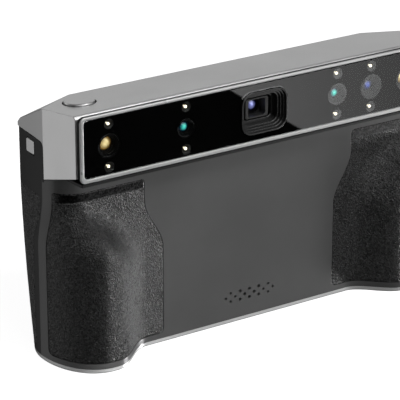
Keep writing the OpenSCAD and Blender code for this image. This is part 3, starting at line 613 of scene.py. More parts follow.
def softened(node_name, width, body, material=None, angle=30):
    """A copy of a CAD node with its flats made whole and its edges rounded."""
    source = frame["nodes"][node_name]
    piece = bpy.data.objects.new(node_name + "_piece", source.data.copy())
    bpy.context.scene.collection.objects.link(piece)
    bm = bmesh.new()
    bm.from_mesh(piece.data)
    bmesh.ops.remove_doubles(bm, verts=bm.verts, dist=0.002 * MM)
    bmesh.ops.dissolve_limit(bm, angle_limit=math.radians(0.5), verts=bm.verts,
                             edges=bm.edges)
    bm.to_mesh(piece.data)
    bm.free()
    if "custom_normal" in piece.data.attributes:
        piece.data.attributes.remove(piece.data.attributes["custom_normal"])
    bevel(piece, width, angle=angle)
    return finish_piece(piece, material or materials[SLOT_OF[node_name]], node_name, body)


# ---- front shell and grip pads ----------------------------------------------------

SEAM = 0.11
RIM = 0.45
POCKET_DEEP = 1.35
PAD_BACK = 1.3
TABLE_US = np.linspace(0, 3, 361)


def solve(target, low, high, value):
    """Where value, which falls from low to high, comes down to target."""
    for _ in range(30):
        mid = (low + high) / 2
        if value(mid) > target:
            low = mid
        else:
            high = mid
    return low


class Outline:
    """Arc lengths along an outline at one height, in millimetres."""

    def __init__(self, point, z):
        xy = np.array([point(u, z) for u in TABLE_US])
        steps = np.hypot(*np.diff(xy, axis=0).T)
        self.lengths = np.concatenate([[0], np.cumsum(steps)])

    def length(self, u):
        return float(np.interp(u, TABLE_US, self.lengths))

    def u(self, length):
        return float(np.interp(length, self.lengths, TABLE_US))


def corner_pull(z, low, high, r_low, r_high):
    """How far a rounded corner draws the side edge in at height z."""
    for near, r in ((z - low, r_low), (high - z, r_high)):
        if near < r:
            d = max(near, 0.0)
            return r - math.sqrt(max(r * r - (r - d) ** 2, 0.0))
    return 0.0


def front_seams(z):
    """Arc lengths of the pad's outer and inner edges, clear of the corners' rounding."""
    outline = Outline(front_point, z)
    seam_y = mix(16.8, 16.1, smooth((z - 49) / 13))
    outer = solve(seam_y, 0, 1, lambda u: front_point(u, z)[1])
    seam_x = mix(40.4, 48.7, smooth((z - 41) / 21))
    inner = solve(seam_x, 1.4, 2.8, lambda u: front_point(u, z)[0])
    return outline, outline.length(outer), outline.length(inner)


def rim_drop(d):
    """How far the pad's rolled rim lies below its face, d in from the edge."""
    if d >= RIM:
        return 0.0
    return RIM * 0.8 * (1 - math.sqrt(1 - (1 - d / RIM) ** 2))


def edge_steps(length, count):
    """Distances along a strip, close together at both ends where the rim rolls over."""
    ends = [0, 0.05, 0.12, 0.22, 0.34, RIM, 0.8]
    middle = np.linspace(1.3, length - 1.3, count)
    return ends + list(middle) + [length - e for e in reversed(ends)]


def pad_rows(z0, z1):
    bend = [z0 + d for d in (0, 0.05, 0.12, 0.22, 0.34, RIM, 0.8, 1.3)]
    top = [z1 - d for d in (1.3, 0.8, RIM, 0.34, 0.22, 0.12, 0.05, 0)]
    return bend + list(np.linspace(z0 + 2, z1 - 2, 76)) + top


def pad_grids(seams, point, z0, z1, radii, count):
    """Outer and inner grids of a pad between its seams."""
    outer, inner = [], []
    for z in pad_rows(z0 + SEAM, z1 - SEAM):
        outline, a0, a1 = seams(z)
        a0 += SEAM + corner_pull(z, z0 + SEAM, z1 - SEAM, radii[0], radii[1])
        a1 -= SEAM + corner_pull(z, z0 + SEAM, z1 - SEAM, radii[2], radii[3])
        near_z = min(z - z0 - SEAM, z1 - SEAM - z)
        row_out, row_in = [], []
        for d in edge_steps(a1 - a0, count):
            u = outline.u(a0 + d)
            near = min(d, a1 - a0 - d, near_z)
            row_out.append((*point(u, z, rim_drop(near)), z))
            row_in.append((*point(u, z, PAD_BACK), z))
        outer.append(row_out)
        inner.append(row_in)
    return outer, inner


def mirrored(grid):
    return [[(-x, y, z) for x, y, z in row] for row in grid]


GRIP_RADII = (2.6, 1.2, 2.0, 1.3)


def make_grip_pads():
    outer, inner = pad_grids(front_seams, front_inset, PAD_Z0, PAD_Z1, GRIP_RADII, 60)
    right = thick_sheet("grip_right", outer, inner)
    finish_piece(right, materials["grip_rubber"], "grip_pad_right", angle=60)
    left = thick_sheet("grip_left", mirrored(outer), mirrored(inner))
    finish_piece(left, materials["grip_rubber"], "grip_pad_left", angle=60)


def half_shell_row(z, sunk_row, seams):
    """One row from the side edge to the middle, with the pad's pocket sunk in it."""
    outline, a0, a1 = seams(z)
    a0 += corner_pull(z, PAD_Z0, PAD_Z1, GRIP_RADII[0], GRIP_RADII[1])
    a1 -= corner_pull(z, PAD_Z0, PAD_Z1, GRIP_RADII[2], GRIP_RADII[3])
    low = POCKET_DEEP if sunk_row else 0.0
    lip = 0.05 if sunk_row else 0.0
    total = outline.length(3)
    spots = [(d, 0) for d in np.linspace(0, a0 - 0.3, 8)] + [(a0 - 0.08, lip * 0.3)]
    spots += [(a0, lip), (a0 + 0.01, low)]
    spots += [(d, low) for d in np.linspace(a0 + 0.6, a1 - 0.6, 60)]
    spots += [(a1 - 0.01, low), (a1, lip), (a1 + 0.08, lip * 0.3), (a1 + 0.3, 0)]
    spots += [(d, 0) for d in np.linspace(a1 + 1.5, total, 24)]
    return [(outline.u(d), inset) for d, inset in spots]


def make_front_shell():
    low_rows = [BASE_H, BASE_H + 0.4, 3.2, PAD_Z0 - 0.3, PAD_Z0 - 0.08]
    inside = [PAD_Z0 + d for d in (0.01, 0.5, 1.2, 2)]
    inside += list(np.linspace(PAD_Z0 + 2.6, PAD_Z1 - 2.6, 76))
    inside += [PAD_Z1 - d for d in (2, 1.2, 0.5, 0.01)]
    rows = [(z, z, False) for z in low_rows + [PAD_Z0]] + [(z, z, True) for z in inside]
    rows += [(PAD_Z1, PAD_Z1, False), (PAD_Z1 + 0.08, PAD_Z1 + 0.08, False)]
    rows += [(PAD_Z1 + 0.3, PAD_Z1 + 0.3, False)]
    rows += [(mix(PAD_Z1 + 0.3, 76, t), t, None) for t in (0.25, 0.5, 0.75, 1)]
    outer, inner = [], []
    for z, share, sunk in rows:
        half_out, half_in = [], []
        for u, inset in half_shell_row(min(z, PAD_Z1 + 0.3), bool(sunk), front_seams):
            x, y = front_inset(u, z, inset)
            top = head_bottom(front_point(u, z)[1]) - 0.25
            height = mix(PAD_Z1 + 0.3, top, share) if sunk is None else z
            half_out.append((x, y, height))
            deep = WALL + (POCKET_DEEP + 0.2 if u < 2.2 else 0)
            half_in.append((*front_inset(u, z, deep), height))
        outer.append(half_out + [(-x, y, h) for x, y, h in reversed(half_out[:-1])])
        inner.append(half_in + [(-x, y, h) for x, y, h in reversed(half_in[:-1])])
    shell = thick_sheet("front_shell_moulding", outer, inner)
    cut(shell, speaker_hole_cutters())
    finish_piece(shell, materials["shell_grey"], "front_shell", angle=40)
    ledge = loft("neck_top", [[(x, y, z) for x, y in (
        (-80.4, 1.3), (80.4, 1.3), (81.9, 14), (-81.9, 14))] for z in (76.3, 77.7)])
    bevel(ledge, 0.3)
    shade(ledge)
    paint(ledge, materials["shell_dark"])
    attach(ledge, "scanner")


def speaker_hole_cutters():
    """Three staggered rows of holes, five, six and five, the largest in the middle."""
    pitch, row_step, hole_z = 4.5, 1.8, 11.5
    cutters = []
    for row, count in ((-1, 5), (0, 6), (1, 5)):
        for n in range(count):
            x = (n - (count - 1) / 2) * pitch
            r = 0.7 if abs(x) < 6 else 0.55
            cutters.append(rod("hole", x, hole_z + row * row_step, r, 7, 13, 24))
    return cutters


# ---- rear shell and side pads -----------------------------------------------------

SIDE_Z0 = 4.0
SIDE_RADII = (2.0, 1.6, 2.0, 1.6)


def side_seams(z):
    outline = Outline(rear_point, z)
    seam_y = mix(26, 23.6, smooth((z - 47) / 15))
    front = solve(-seam_y, 0, 1, lambda v: -rear_point(v, z)[1])
    return outline, outline.length(front), outline.length(2.6)


def make_side_pads():
    outer, inner = pad_grids(side_seams, rear_inset, SIDE_Z0, SIDE_PAD_Z1, SIDE_RADII, 36)
    right = thick_sheet("side_grip_right", outer, inner)
    finish_piece(right, side_rubber, "side_pad_right", angle=60)
    left = thick_sheet("side_grip_left", mirrored(outer), mirrored(inner))
    finish_piece(left, side_rubber, "side_pad_left", angle=60)


CAP_ROUND = 2.4


def cap_limit(y, gap):
    """Top of the dark side panel, with its rounded front corner."""
    d = y - PANEL_FRONT_Y
    fall = 0.0
    if d < CAP_ROUND:
        fall = CAP_ROUND - math.sqrt(max(CAP_ROUND ** 2 - (CAP_ROUND - max(d, 0)) ** 2, 0))
    return CAP_Z - gap - fall


def rear_sheet():
    """Grids of the right-hand side wall, with the side pad's pocket sunk in it."""
    zs = [BASE_H, 2.6, SIDE_Z0 - 0.3, SIDE_Z0]
    inside = [SIDE_Z0 + 0.01] + list(np.linspace(SIDE_Z0 + 0.5, SIDE_PAD_Z1 - 0.5, 60))
    inside += [SIDE_PAD_Z1 - 0.01]
    above = [SIDE_PAD_Z1, SIDE_PAD_Z1 + 0.3, 70, 73.4, 73.6, 78, 82, 85, 87, 88.3, 89, 99]
    outer, inner = [], []
    for z in zs + inside + above:
        at = min(z, CAP_Z)
        sunk = SIDE_Z0 < z < SIDE_PAD_Z1
        outline, a0, a1 = side_seams(min(at, NECK_TOP_Z))
        full = Outline(rear_point, at)
        a0 += corner_pull(z, SIDE_Z0, SIDE_PAD_Z1, SIDE_RADII[0], SIDE_RADII[1])
        a1 -= corner_pull(z, SIDE_Z0, SIDE_PAD_Z1, SIDE_RADII[2], SIDE_RADII[3])
        low = POCKET_DEEP if sunk else 0.0
        total = full.length(3)
        spots = [(d, 0) for d in np.linspace(0, a0 - 0.1, 8)] + [(a0, 0), (a0 + 0.01, low)]
        spots += [(d, low) for d in np.linspace(a0 + 0.5, a1 - 0.5, 36)]
        spots += [(a1 - 0.01, low), (a1, 0)] + [(d, 0) for d in np.linspace(a1 + 0.4, total, 5)]
        row_out, row_in = [], []
        for d, inset in spots:
            v = full.u(d)
            x, y = rear_inset(v, at, inset)
            row_out.append((x, y, min(z, cap_limit(y, 0.1))))
            xi, yi = rear_inset(v, at, WALL + (POCKET_DEEP if z < 70 else 0))
            row_in.append((xi, yi, min(z, cap_limit(y, 0.1))))
        outer.append(row_out)
        inner.append(row_in)
    return outer, inner


LEAN = math.tan(math.radians(4))
HINGE_LOW, HINGE_HIGH = box_mm("hinge_pins")
HINGE_Y = (HINGE_LOW.y + HINGE_HIGH.y) / 2 + MID_Y
HINGE_Z = (HINGE_LOW.z + HINGE_HIGH.z) / 2
BARREL_R = 4.25
NOTCH_Y = HINGE_Y - BARREL_R - 0.4
POCKET_Z0 = HINGE_Z - 78
BRACKET_X = 56.0
POWER_Y = 30.7
POWER_Z = 84.9
POWER_W = 6.0
POWER_H = 5.5
SCREW_SPOTS = [(x, z) for x in (-45, 45) for z in (15, 68)]


def floor_y(z):
    return NOTCH_Y - (HINGE_Z - z) * LEAN


def make_rear_shell():
    outer, inner = rear_sheet()
    power = rounded_outline(POWER_W + 0.7, POWER_H + 0.7, 1.1)
    usb = rounded_outline(9.84, 4.1, 1.9)
    right = thick_sheet("rear_shell_right", outer, inner)
    cut(right, [prism("usb_hole", [(31 + a, 83 + b) for a, b in usb], 78, 92)])
    left = thick_sheet("rear_shell_left", mirrored(outer), mirrored(inner))
    cut(left, [prism("button_hole", [(POWER_Y + a, POWER_Z + b) for a, b in power], -92, -78)])
    zs = [BASE_H, 3, 6, POCKET_Z0 - 2] + list(np.linspace(14, NECK_TOP_Z, 24)) + [80, CAP_Z - 0.1]
    line = [(rear_line(z), z) for z in zs]
    line += [(floor_y(CAP_Z) - WALL, CAP_Z - 0.1), (floor_y(POCKET_Z0) - WALL, POCKET_Z0),
             (floor_y(POCKET_Z0) - WALL, POCKET_Z0 - WALL),
             (rear_line(POCKET_Z0 - WALL) - WALL - 1, POCKET_Z0 - WALL),
             (rear_line(BASE_H) - WALL, BASE_H)]
    back = prism("rear_shell_back", line, -NOTCH_X - WALL, NOTCH_X + WALL)
    pocket = [(floor_y(POCKET_Z0), POCKET_Z0), (80, POCKET_Z0), (80, 120), (floor_y(120), 120)]
    cutters = [prism("pocket", pocket, -NOTCH_X, NOTCH_X)]
    cutters += [rod("seat", x, z, 2.3, floor_y(z) - 1.5, 60) for x, z in SCREW_SPOTS]
    for x in (-BRACKET_X, BRACKET_X):
        low, high = HINGE_Z - BARREL_R, HINGE_Z + 20
        slot = [(25, low), (50, low), (50, high), (25, high)]
        cutters.append(prism("bracket_slot", slot, x - 4.1, x + 4.1))
    cut(back, cutters)
    for piece in (left, right, back):
        finish_piece(piece, materials["shell_dark"], "rear_shell", angle=35)


# ---- bottom plate -----------------------------------------------------------------


def base_ring(inset, z):
    us = np.concatenate([np.linspace(0, 1, 40), np.linspace(1.02, 2, 50), [2.4, 2.8, 3]])
    vs = np.concatenate([[3, 2.5], np.linspace(2, 1, 14), np.linspace(0.9, 0.05, 10)])
    half = [rear_inset(v, BASE_H, inset) for v in vs]
    half += [front_inset(u, BASE_H, inset) for u in us[:-1]]
    return [(x, y, z) for x, y in half] + [(-x, y, z) for x, y in reversed(half)]


def make_bottom_plate():
    profile = [(0.0, BASE_H - 0.05), (0.0, 1.1), (0.06, 0.75), (0.25, 0.4), (0.5, 0.16),
               (0.9, 0.02), (1.4, 0.0)]
    plate = loft("bottom_cover", [base_ring(inset, z) for inset, z in profile])
    insert_y = box_mm("tripod_insert")[0].y + MID_Y + 4.5

    def upright_rod(x, r, z0, z1):
        return loft("bore", [[(x + r * math.cos(2 * math.pi * i / 40),
                               insert_y + r * math.sin(2 * math.pi * i / 40), z)
                              for i in range(40)] for z in (z0, z1)])

    cutters = [upright_rod(0, 4.52, -1, 4)]
    cutters += [upright_rod(x, 2.4, -1, 1.4) for x in (-30, 30)]
    cut(plate, cutters)
    finish_piece(plate, materials["base_silver"], "bottom_plate")


# ---- head -------------------------------------------------------------------------


def head_body(name, inset, low_z):
    """The faceted head as one closed solid, moved in by inset on every side."""
    top = Vector((0, TOP_SLOPE, 1))
    back = Vector((0, 1, 1.04))
    side_corner = Vector((HEAD_X, NECK_CORNER[1], top_z(NECK_CORNER[1])))
    back_corner = Vector((67.4, 31.2, top_z(31.2)))
    low_corner = Vector((BACK_CORNER_X + 0.3, 39, 93.7))
    facet = (low_corner - side_corner).cross(back_corner - side_corner)
    x_in = inset * 1.02
    front = EDGE_Y - (1 if inset else 0)
    plan = [(FRONT_CORNER_X - x_in, front), (HEAD_X - x_in, NECK_CORNER[1]),
            (BACK_CORNER_X - x_in, BACK_Y - inset)]
    plan += [(-x, y) for x, y in reversed(plan)]
    piece = loft(name, [[(x, y, z) for x, y in plan] for z in (low_z, 120)])
    planes = [(Vector((0, CREST_Y, BODY_H)), top, inset), (back_corner, back, inset)]
    for side in (1, -1):
        flip = Vector((side, 1, 1))
        planes.append((side_corner * flip, facet * flip, inset - 0.15))
    if not inset:
        planes.append((Vector((0, EDGE_Y, BODY_H - 1)), Vector((0, -1, 1)), 0))
    bm = bmesh.new()
    bm.from_mesh(piece.data)
    for spot, normal, deep in planes:
        n = normal.normalized()
        geometry = bm.verts[:] + bm.edges[:] + bm.faces[:]
        bmesh.ops.bisect_plane(bm, geom=geometry, plane_co=place(spot - deep * n),
                               plane_no=n, clear_outer=True)
        edges = [e for e in bm.edges if e.is_boundary]
        bmesh.ops.holes_fill(bm, edges=edges)
    bmesh.ops.dissolve_limit(bm, angle_limit=math.radians(0.2), verts=bm.verts,
                             edges=bm.edges)
    bmesh.ops.recalc_face_normals(bm, faces=bm.faces)
    bm.to_mesh(piece.data)
    bm.free()
    return piece


SCAN_LOW, SCAN_HIGH = box_mm("scan_button")
SCAN_X = (SCAN_LOW.x + SCAN_HIGH.x) / 2
SCAN_Y = 18.7
SCAN_R = 5.95
SCAN_TILT = Matrix.Rotation(-math.atan(TOP_SLOPE), 3, "X")


def on_top(a, b, height):
    p = SCAN_TILT @ Vector((a, b, height))
    return SCAN_X + p.x, SCAN_Y + p.y, top_z(SCAN_Y) + p.z


def make_head():
    head = head_body("head_cover", 0, 60)
    bevel(head, 0.55, 4, 12)
    inner = head_body("head_inside", 1.8, 50)
    below = [(-10, 0), (-10, head_bottom(-10)), (60, head_bottom(60)), (60, 0)]
    arc = [(PANEL_FRONT_Y + CAP_ROUND - CAP_ROUND * math.cos(math.radians(a)),
            CAP_Z - CAP_ROUND + CAP_ROUND * math.sin(math.radians(a)))
           for a in range(0, 91, 10)]
    panel = [(PANEL_FRONT_Y, 0)] + arc + [(90, CAP_Z), (90, 0)]
    notch = [(NOTCH_Y, CAP_Z - 1), (90, CAP_Z - 1), (90, 120), (NOTCH_Y, 120)]
    cutters = [inner, prism("below", below, -120, 120), prism("panel", panel, -120, 120),
               prism("notch", notch, -NOTCH_X, NOTCH_X),
               lathe("bore", [(SCAN_R + 0.6, -12), (SCAN_R + 0.6, 12)], on_top, False)]
    cut(head, cutters)
    finish_piece(head, materials["silver_paint"], "head_housing", angle=28)
    shelf = [(NOTCH_Y - 1.9, CAP_Z), (NOTCH_Y, CAP_Z), (NOTCH_Y, top_z(31) - 7),
             (NOTCH_Y - 1.9, top_z(31) - 6)]
    wall = prism("notch_wall", shelf, -NOTCH_X, NOTCH_X)
    finish_piece(wall, materials["silver_paint"], "head_housing")


def make_scan_button():
    r = SCAN_R
    profile = [(0.01, 0.8), (r - 0.9, 0.8), (r - 0.5, 0.77), (r - 0.2, 0.66),
               (r - 0.05, 0.48), (r, 0.25), (r, -2.25), (r + 1.1, -2.25), (r + 1.1, -3.1),
               (1.2, -3.1), (1.2, -5.2), (0.01, -5.2)]
    button = lathe("scan_cap", profile, on_top, False, 96)
    finish_piece(button, materials["silver_paint"], "scan_button", "scan_button")


def make_power_button():
    def ring(x, grow, r):
        outline = rounded_outline(POWER_W + grow, POWER_H + grow, r)
        return [(x, POWER_Y + a, POWER_Z + b) for a, b in outline]

    rings = [ring(-81.7, 2.4, 1.2), ring(-82.4, 2.4, 1.2), ring(-82.41, 0, 0.8),
             ring(-85.3, 0, 0.8), ring(-85.6, -0.08, 0.78), ring(-85.8, -0.3, 0.7),
             ring(-85.9, -0.7, 0.5)]
    button = loft("power_cap", rings)
    finish_piece(button, materials["silver_paint"], "power_button", "power_button")


# ---- window -----------------------------------------------------------------------


def make_bezel():
    low, high = box_mm("front_bezel")
    w, h, zc = high.x - low.x, high.z - low.z, (high.z + low.z) / 2
    back = high.y + MID_Y

    def outer(cutback, y):
        return front_ring(w - 2 * cutback, h - 2 * cutback, 2.2 - cutback * 0.5, y, z=zc)

    def inner(grow, y):
        return front_ring(GLASS_W + 0.1 + 2 * grow, GLASS_H + 0.1 + 2 * grow,
                          1.65 + grow * 0.8, y, z=GLASS_ZC)

    rings = [outer(0, back), outer(0, 0.45), outer(0.05, 0.25), outer(0.18, 0.09),
             outer(0.4, 0), inner(0.35, 0), inner(0.2, 0.06), inner(0.07, 0.2),
             inner(0, 0.4), inner(0, back)]
    bezel = loft("window_bezel", rings, closed=True)
    finish_piece(bezel, materials["bezel_silver"], "front_bezel")
    # The bezel's side faces behind its front are painted black: painted shade in the groove round
    # the window.
    bezel.data.materials.append(carrier_black_and_groove_shade)
    for face in bezel.data.polygons:
        face.material_index = 1 if face.center.y > place((0, 0.46, 0)).y else 0


def make_glass():
    w, h = GLASS_W, GLASS_H
    hood_w, hood_h = HOOD_HIGH.x - HOOD_LOW.x + 0.2, HOOD_HIGH.z - HOOD_LOW.z + 0.2
    rings = [front_ring(w, h, 1.6, 1.1, z=GLASS_ZC), front_ring(w, h, 1.6, 0.2, z=GLASS_ZC),
             front_ring(w - 0.36, h - 0.36, 1.5, 0.02, z=GLASS_ZC),
             front_ring(hood_w, hood_h, HOOD_R, 0.02), front_ring(hood_w, hood_h, HOOD_R, 1.1)]
    pane = loft("window_pane", rings, closed=True)
    finish_piece(pane, materials["window_glass"], "front_glass", angle=20)


def make_hood():
    """Stepped hood of the projector: a raised lip, three steps and a deeper throat."""
    w, h = HOOD_HIGH.x - HOOD_LOW.x, HOOD_HIGH.z - HOOD_LOW.z
    end_y, front = HOOD_HIGH.y + MID_Y, HOOD_LOW.y + MID_Y

    def ring(inset, y):
        r = max(HOOD_R - 0.75 * inset, 1.2)
        return front_ring(w - 2 * inset, h - 2 * inset, r, y, steps=10)

    rings = [ring(0, end_y), ring(0, 0.0), ring(0.06, front + 0.12), ring(0.2, front),
             ring(0.45, front), ring(0.6, front + 0.12)]
    for inset, y, next_inset in ((0.6, 0.7, 1.35), (1.35, 1.6, 2.1), (2.1, 2.5, 2.9),
                                 (2.9, 4.9, 4.2)):
        rings += [ring(inset, y - 0.12), ring(inset + 0.06, y),
                  ring(next_inset - 0.14, y), ring(next_inset, y + 0.12)]
    rings.append(ring(4.2, end_y))
    hood = loft("hood_steps", rings, closed=True)
    finish_piece(hood, hood_black, "projector_hood", angle=25)


# ---- cameras, lenses and lights ---------------------------------------------------


def notched(first, wide, ring_r, depth):
    """Pushes three gaps into a barrel's front ring."""
    def reshape(r, d, angle):
        if r < ring_r or d > depth:
            return r, d
        for k in range(3):
            away = abs((angle - first - k * 2.1 + math.pi) % (2 * math.pi) - math.pi)
            if away < wide:
                return r, d + 0.45
        return r, d
    return reshape


def camera_barrel(name, node, r, lens_r, lens_y, x, bright):
    bore, seat = lens_r + 0.7, lens_r + 0.06
    profile = [(r, 5.0), (r, 1.7), (r - 0.15, 1.52), (r - 0.5, 1.52), (r - 0.58, 1.62),
               (r - 0.58, 2.0), (bore + 0.1, 2.0), (bore, 2.1), (bore, 2.7),
               (bore - 0.25, 2.75), (bore - 0.3, 2.9), (bore - 0.3, lens_y - 0.25),
               (seat, lens_y - 0.1), (seat, 5.0)]
    barrel = lathe(name, profile, facing(x), True, 96, notched(0.6, 0.22, r - 0.55, 1.6))
    finish_piece(barrel, barrel_black, node, angle=25)
    # On the cameras flagged for it, the front rims are painted lighter grey: painted highlight
    # along their thin edges.
    barrel.data.materials.append(grey_trim_and_painted_highlight if bright else hood_black)
    rims = ((r - 0.22, r + 0.1), (bore + 0.05, bore + 0.2))
    for face in barrel.data.polygons:
        c = face.center / MM
        away, depth = math.hypot(c.x - x, c.z - LENS_Z), c.y + MID_Y
        on_rim = any(a < away < b for a, b in rims) and depth < 2.2
        face.material_index = 1 if on_rim else 0
    body_w, back = 2 * r + 4, box_mm(node)[1].y + MID_Y
    block = loft(name + "_block", [front_ring(body_w - 0.4, 12.2, 0.8, 5.01, x),
                                   front_ring(body_w, 12.6, 1.0, 5.2, x),
                                   front_ring(body_w, 12.6, 1.0, back, x)])
    finish_piece(block, materials["black_plastic"], node)


def lens_dome(name, node, r, y, x, rim, centre):
    """A domed front element that sits at depth y, inside its barrel."""
    crown = 0.75
    arc = [(r * math.sin(math.radians(a)), crown * math.cos(math.radians(a)))
           for a in range(0, 91, 9)]
    profile = [(max(a, 0.01), y + crown + 0.03 - b) for a, b in arc]
    profile += [(r, y + 1.7), (0.01, y + 1.7)]
    dome = lathe(name, profile, facing(x), False, 64)
    finish_piece(dome, lens_painted_glint(name, rim, centre, x, r), node)


# Lens colours as (rim, centre): the light centre and dark rim are a painted highlight over the
# coating's hue.
GOLD = ((0.2, 0.11, 0.02), (1.0, 0.82, 0.4))
TEAL = ((0.002, 0.02, 0.05), (0.06, 0.62, 0.5))
BLUE = ((0.004, 0.005, 0.012), (0.03, 0.06, 0.3))
VIOLET = ((0.004, 0.004, 0.03), (0.4, 0.45, 1.0))
# The last field picks the cameras whose rims get the painted highlight.
CAMERAS = (
    ("far_camera_left", "far_lens_left", 4.5, 2.7, 4.0, -68.9, GOLD, True),
    ("near_camera_left", "near_lens_left", 3.6, 2.0, 3.0, -35.0, TEAL, True),
    ("near_camera_right", "near_lens_right", 4.0, 2.0, 3.0, 35.0, TEAL, True),
    ("rgb_camera", "rgb_lens", 4.6, 2.4, 3.4, 51.5, BLUE, False),
    ("far_camera_right", "far_lens_right", 4.5, 2.7, 4.0, 68.9, GOLD, True),
)


def make_cameras():
    for camera, lens, r, lens_r, y, x, (rim, centre), bright in CAMERAS:
        camera_barrel(camera + "_barrel", camera, r, lens_r, y, x, bright)
        lens_dome(lens + "_dome", lens, lens_r, y, x, rim, centre)
    lens_dome("projector_dome", "projector_lens", 2.3, 8.65, 0.0, *VIOLET)
    # The end frame is painted lighter grey: partly the module's face, partly painted highlight of
    # the end step's inner wall.
    spans = ((10.6, 8.2, 5.3), (10.4, 8.0, 5.15), (8.0, 7.0, 5.15), (7.8, 6.8, 5.3),
             (7.8, 6.8, 8.4), (10.6, 8.2, 8.4))
    window = loft("projector_window", [front_ring(w, h, 0.9, y) for w, h, y in spans],
                  closed=True)
    finish_piece(window, grey_trim_and_painted_highlight, "projector_lens", angle=25)


def make_lights():
    """Each light: a package on the board, a moulded dome and a thin reflector ring."""
    for x in (c[5] for c in CAMERAS):
        for side in (-1, 1):
            z = LENS_Z + side * 8.45
            name = f"light_{'r' if x > 0 else 'l'}{abs(x):.0f}_{'up' if side > 0 else 'low'}"

            def spot(a, b, depth, x=x, z=z):
                return x + a, depth, z + b

            arc = [(0.62 * math.sin(math.radians(a)), 2.0 - 0.5 * math.cos(math.radians(a)))
                   for a in range(0, 91, 15)]
            profile = [(max(a, 0.01), d) for a, d in arc]
            profile += [(0.62, 2.15), (0.3, 2.2), (0.3, 3.35), (0.01, 3.35)]
            dome = lathe(name, profile, spot, False, 40)
            finish_piece(dome, materials["led_white"], "fill_leds")
            ring_profile = [(2.1, 3.2), (2.1, 1.6), (1.95, 1.45), (1.8, 1.6), (1.1, 2.9),
                            (0.8, 3.2)]
            ring = lathe(name + "_ring", ring_profile, spot, True, 40)
            finish_piece(ring, board_black, "fill_leds")


make_front_shell()
make_grip_pads()
make_rear_shell()
make_side_pads()
make_bottom_plate()
make_head()
make_scan_button()
make_power_button()
make_bezel()
make_glass()
make_hood()
make_cameras()
make_lights()
softened("display_housing", 0.6, "display")
for bracket in ("hinge_bracket_left", "hinge_bracket_right"):
    softened(bracket, 0.3, "scanner")
softened("usb_socket", 0.06, "scanner")


# ---- studio -----------------------------------------------------------------------


def make_camera():
    azimuth, elevation, distance = math.radians(-32.94), math.radians(22.21), 0.92054
    aim = place((-25.6, 5.94, 58.12))
    back = Vector((math.sin(azimuth) * math.cos(elevation),
                   -math.cos(azimuth) * math.cos(elevation), math.sin(elevation)))
    data = bpy.data.cameras.new("camera")
    data.lens, data.sensor_width = 214.93, 36.0
    data.clip_end = 20
    camera = bpy.data.objects.new("camera", data)
    camera.location = aim + back * distance
    camera.rotation_euler = back.to_track_quat("Z", "Y").to_euler()
    bpy.context.scene.collection.objects.link(camera)
    bpy.context.scene.camera = camera


def softbox(name, spot, aim, width, height, power, glossy=True):
    """A lamp that is out of the camera's sight."""
    data = bpy.data.lights.new(name, "AREA")
    data.shape = "RECTANGLE"
    data.size, data.size_y = width, height
    data.energy = power
    lamp = bpy.data.objects.new(name, data)
    lamp.location = spot
    lamp.rotation_euler = (Vector(spot) - Vector(aim)).to_track_quat("Z", "Y").to_euler()
    lamp.visible_camera = False
    lamp.visible_glossy = glossy
    bpy.context.scene.collection.objects.link(lamp)


def make_world():
    """White behind the object, and a dark room with two pale sides in every reflection."""
    bpy.context.scene.view_settings.view_transform = "Standard"
    world = bpy.data.worlds.new("room")
    bpy.context.scene.world = world
    world.use_nodes = True
    tree = world.node_tree
    room = tree.nodes["Background"]
    room.inputs["Color"].default_value = (1, 1, 1, 1)
    seen = tree.nodes.new("ShaderNodeBackground")
    seen.inputs["Strength"].default_value = 1.0
    path, both = tree.nodes.new("ShaderNodeLightPath"), tree.nodes.new("ShaderNodeMixShader")
    tree.links.new(path.outputs["Is Camera Ray"], both.inputs["Fac"])
    tree.links.new(room.outputs["Background"], both.inputs[1])
    tree.links.new(seen.outputs["Background"], both.inputs[2])
    tree.links.new(both.outputs["Shader"], tree.nodes["World Output"].inputs["Surface"])
    direction = tree.nodes.new("ShaderNodeTexCoord").outputs["Generated"]

    def lobe(axis, starts, full, strength):
        """Light from around one direction."""
        dot, share = tree.nodes.new("ShaderNodeVectorMath"), tree.nodes.new("ShaderNodeMapRange")
        dot.operation = "DOT_PRODUCT"
        dot.inputs[1].default_value = Vector(axis).normalized()
        tree.links.new(direction, dot.inputs[0])
        share.interpolation_type = "SMOOTHSTEP"
        share.inputs["From Min"].default_value = starts
        share.inputs["From Max"].default_value = full
        share.inputs["To Max"].default_value = strength
        tree.links.new(dot.outputs["Value"], share.inputs["Value"])
        return share.outputs["Result"]

    def calculated(kind, a, b):
        n = tree.nodes.new("ShaderNodeMath")
        n.operation = kind
        for socket, value in zip(n.inputs, (a, b)):
            if isinstance(value, float):
                socket.default_value = value
            else:
                tree.links.new(value, socket)
        return n.outputs[0]

    left = lobe((-0.8, 0.55, -0.3), 0.75, 1.0, 0.75)
    above = lobe((0.45, 0.8, 0.4), 0.78, 0.96, 0.55)
    glossy = calculated("ADD", calculated("ADD", left, above), 0.02)
    extra = calculated("MULTIPLY", glossy, path.outputs["Is Glossy Ray"])
    tree.links.new(calculated("ADD", extra, 0.04), room.inputs["Strength"])


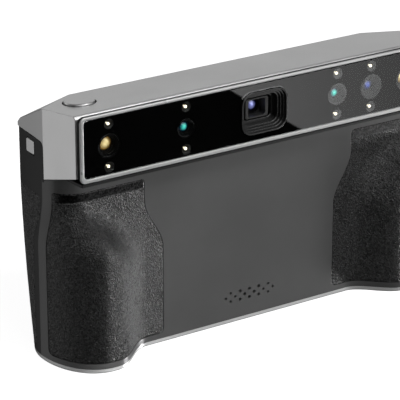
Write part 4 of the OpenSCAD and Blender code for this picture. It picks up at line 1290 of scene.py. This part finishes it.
def make_floor():
    mesh = bpy.data.meshes.new("floor")
    half = 3.0
    corners = [(-half, -half, 0), (half, -half, 0), (half, half, 0), (-half, half, 0)]
    mesh.from_pydata(corners, [], [(0, 1, 2, 3)])
    floor = bpy.data.objects.new("floor", mesh)
    floor.visible_glossy = False
    floor.visible_transmission = False
    floor.visible_diffuse = False
    floor.visible_shadow = False
    bpy.context.scene.collection.objects.link(floor)
    p = Paint("floor", grey(0.9), 0.9)
    p.colours(p.noise(3, 2), grey(0.88), grey(0.92))
    p.shader.inputs["Emission Color"].default_value = (1, 1, 1, 1)
    p.shader.inputs["Emission Strength"].default_value = 0.9
    paint(floor, p.material)


def make_reflected_flag():
    """A studio flag that only reflections see: black, with a grey half on the right."""
    y, low, high, left, right = place((0, -300, 0)).y, -0.5, 0.55, -0.9, 1.4
    mesh = bpy.data.meshes.new("flag")
    mesh.from_pydata([(left, y, low), (right, y, low), (right, y, high), (left, y, high)],
                     [], [(0, 1, 2, 3)])
    flag = bpy.data.objects.new("flag", mesh)
    flag.visible_camera = False
    flag.visible_diffuse = False
    flag.visible_shadow = False
    bpy.context.scene.collection.objects.link(flag)
    p = Paint("flag", grey(0), 1.0)
    axes = p.node("ShaderNodeSeparateXYZ")
    p.link(p.coordinates, axes.inputs["Vector"])
    slope = p.node("ShaderNodeMath")
    slope.operation = "MULTIPLY_ADD"
    slope.inputs[1].default_value = 1.49
    p.link(axes.outputs["Z"], slope.inputs[0])
    p.link(axes.outputs["X"], slope.inputs[2])
    half = p.spread(slope.outputs[0], 0, 1, 0.1455, 0.1475)
    fade = p.spread(axes.outputs["X"], 1.9, 0.8, 0.19, 0.33)
    light = p.node("ShaderNodeEmission")
    p.link(p.times(half, fade), light.inputs["Strength"])
    p.link(light.outputs["Emission"], p.tree.nodes["Material Output"].inputs["Surface"])
    paint(flag, p.material)


make_camera()
make_world()
make_floor()
make_reflected_flag()
softbox("top_softbox", (0.2, -0.55, 0.78), (0, 0, 0.08), 0.35, 0.3, 4)
softbox("key_softbox", (-0.2, -0.6, 0.35), (-0.03, 0, 0.07), 0.2, 0.2, 0.2)
softbox("plate_light", (0.2, -0.44, -0.1), (-0.03, 0, 0.07), 0.16, 0.12, 0.35)
softbox("plate_fill", (-0.07, -0.1, 0.0), (-0.05, 0, 0.075), 0.04, 0.03, 0.06, glossy=False)
softbox("right_strip", (0.5, -0.15, -0.2), (-0.06, 0, 0.04), 0.14, 0.2, 2.2)
softbox("back_softbox", (-0.5, 0.8, 0.5), (0, 0, 0.06), 0.4, 0.4, 1.0)
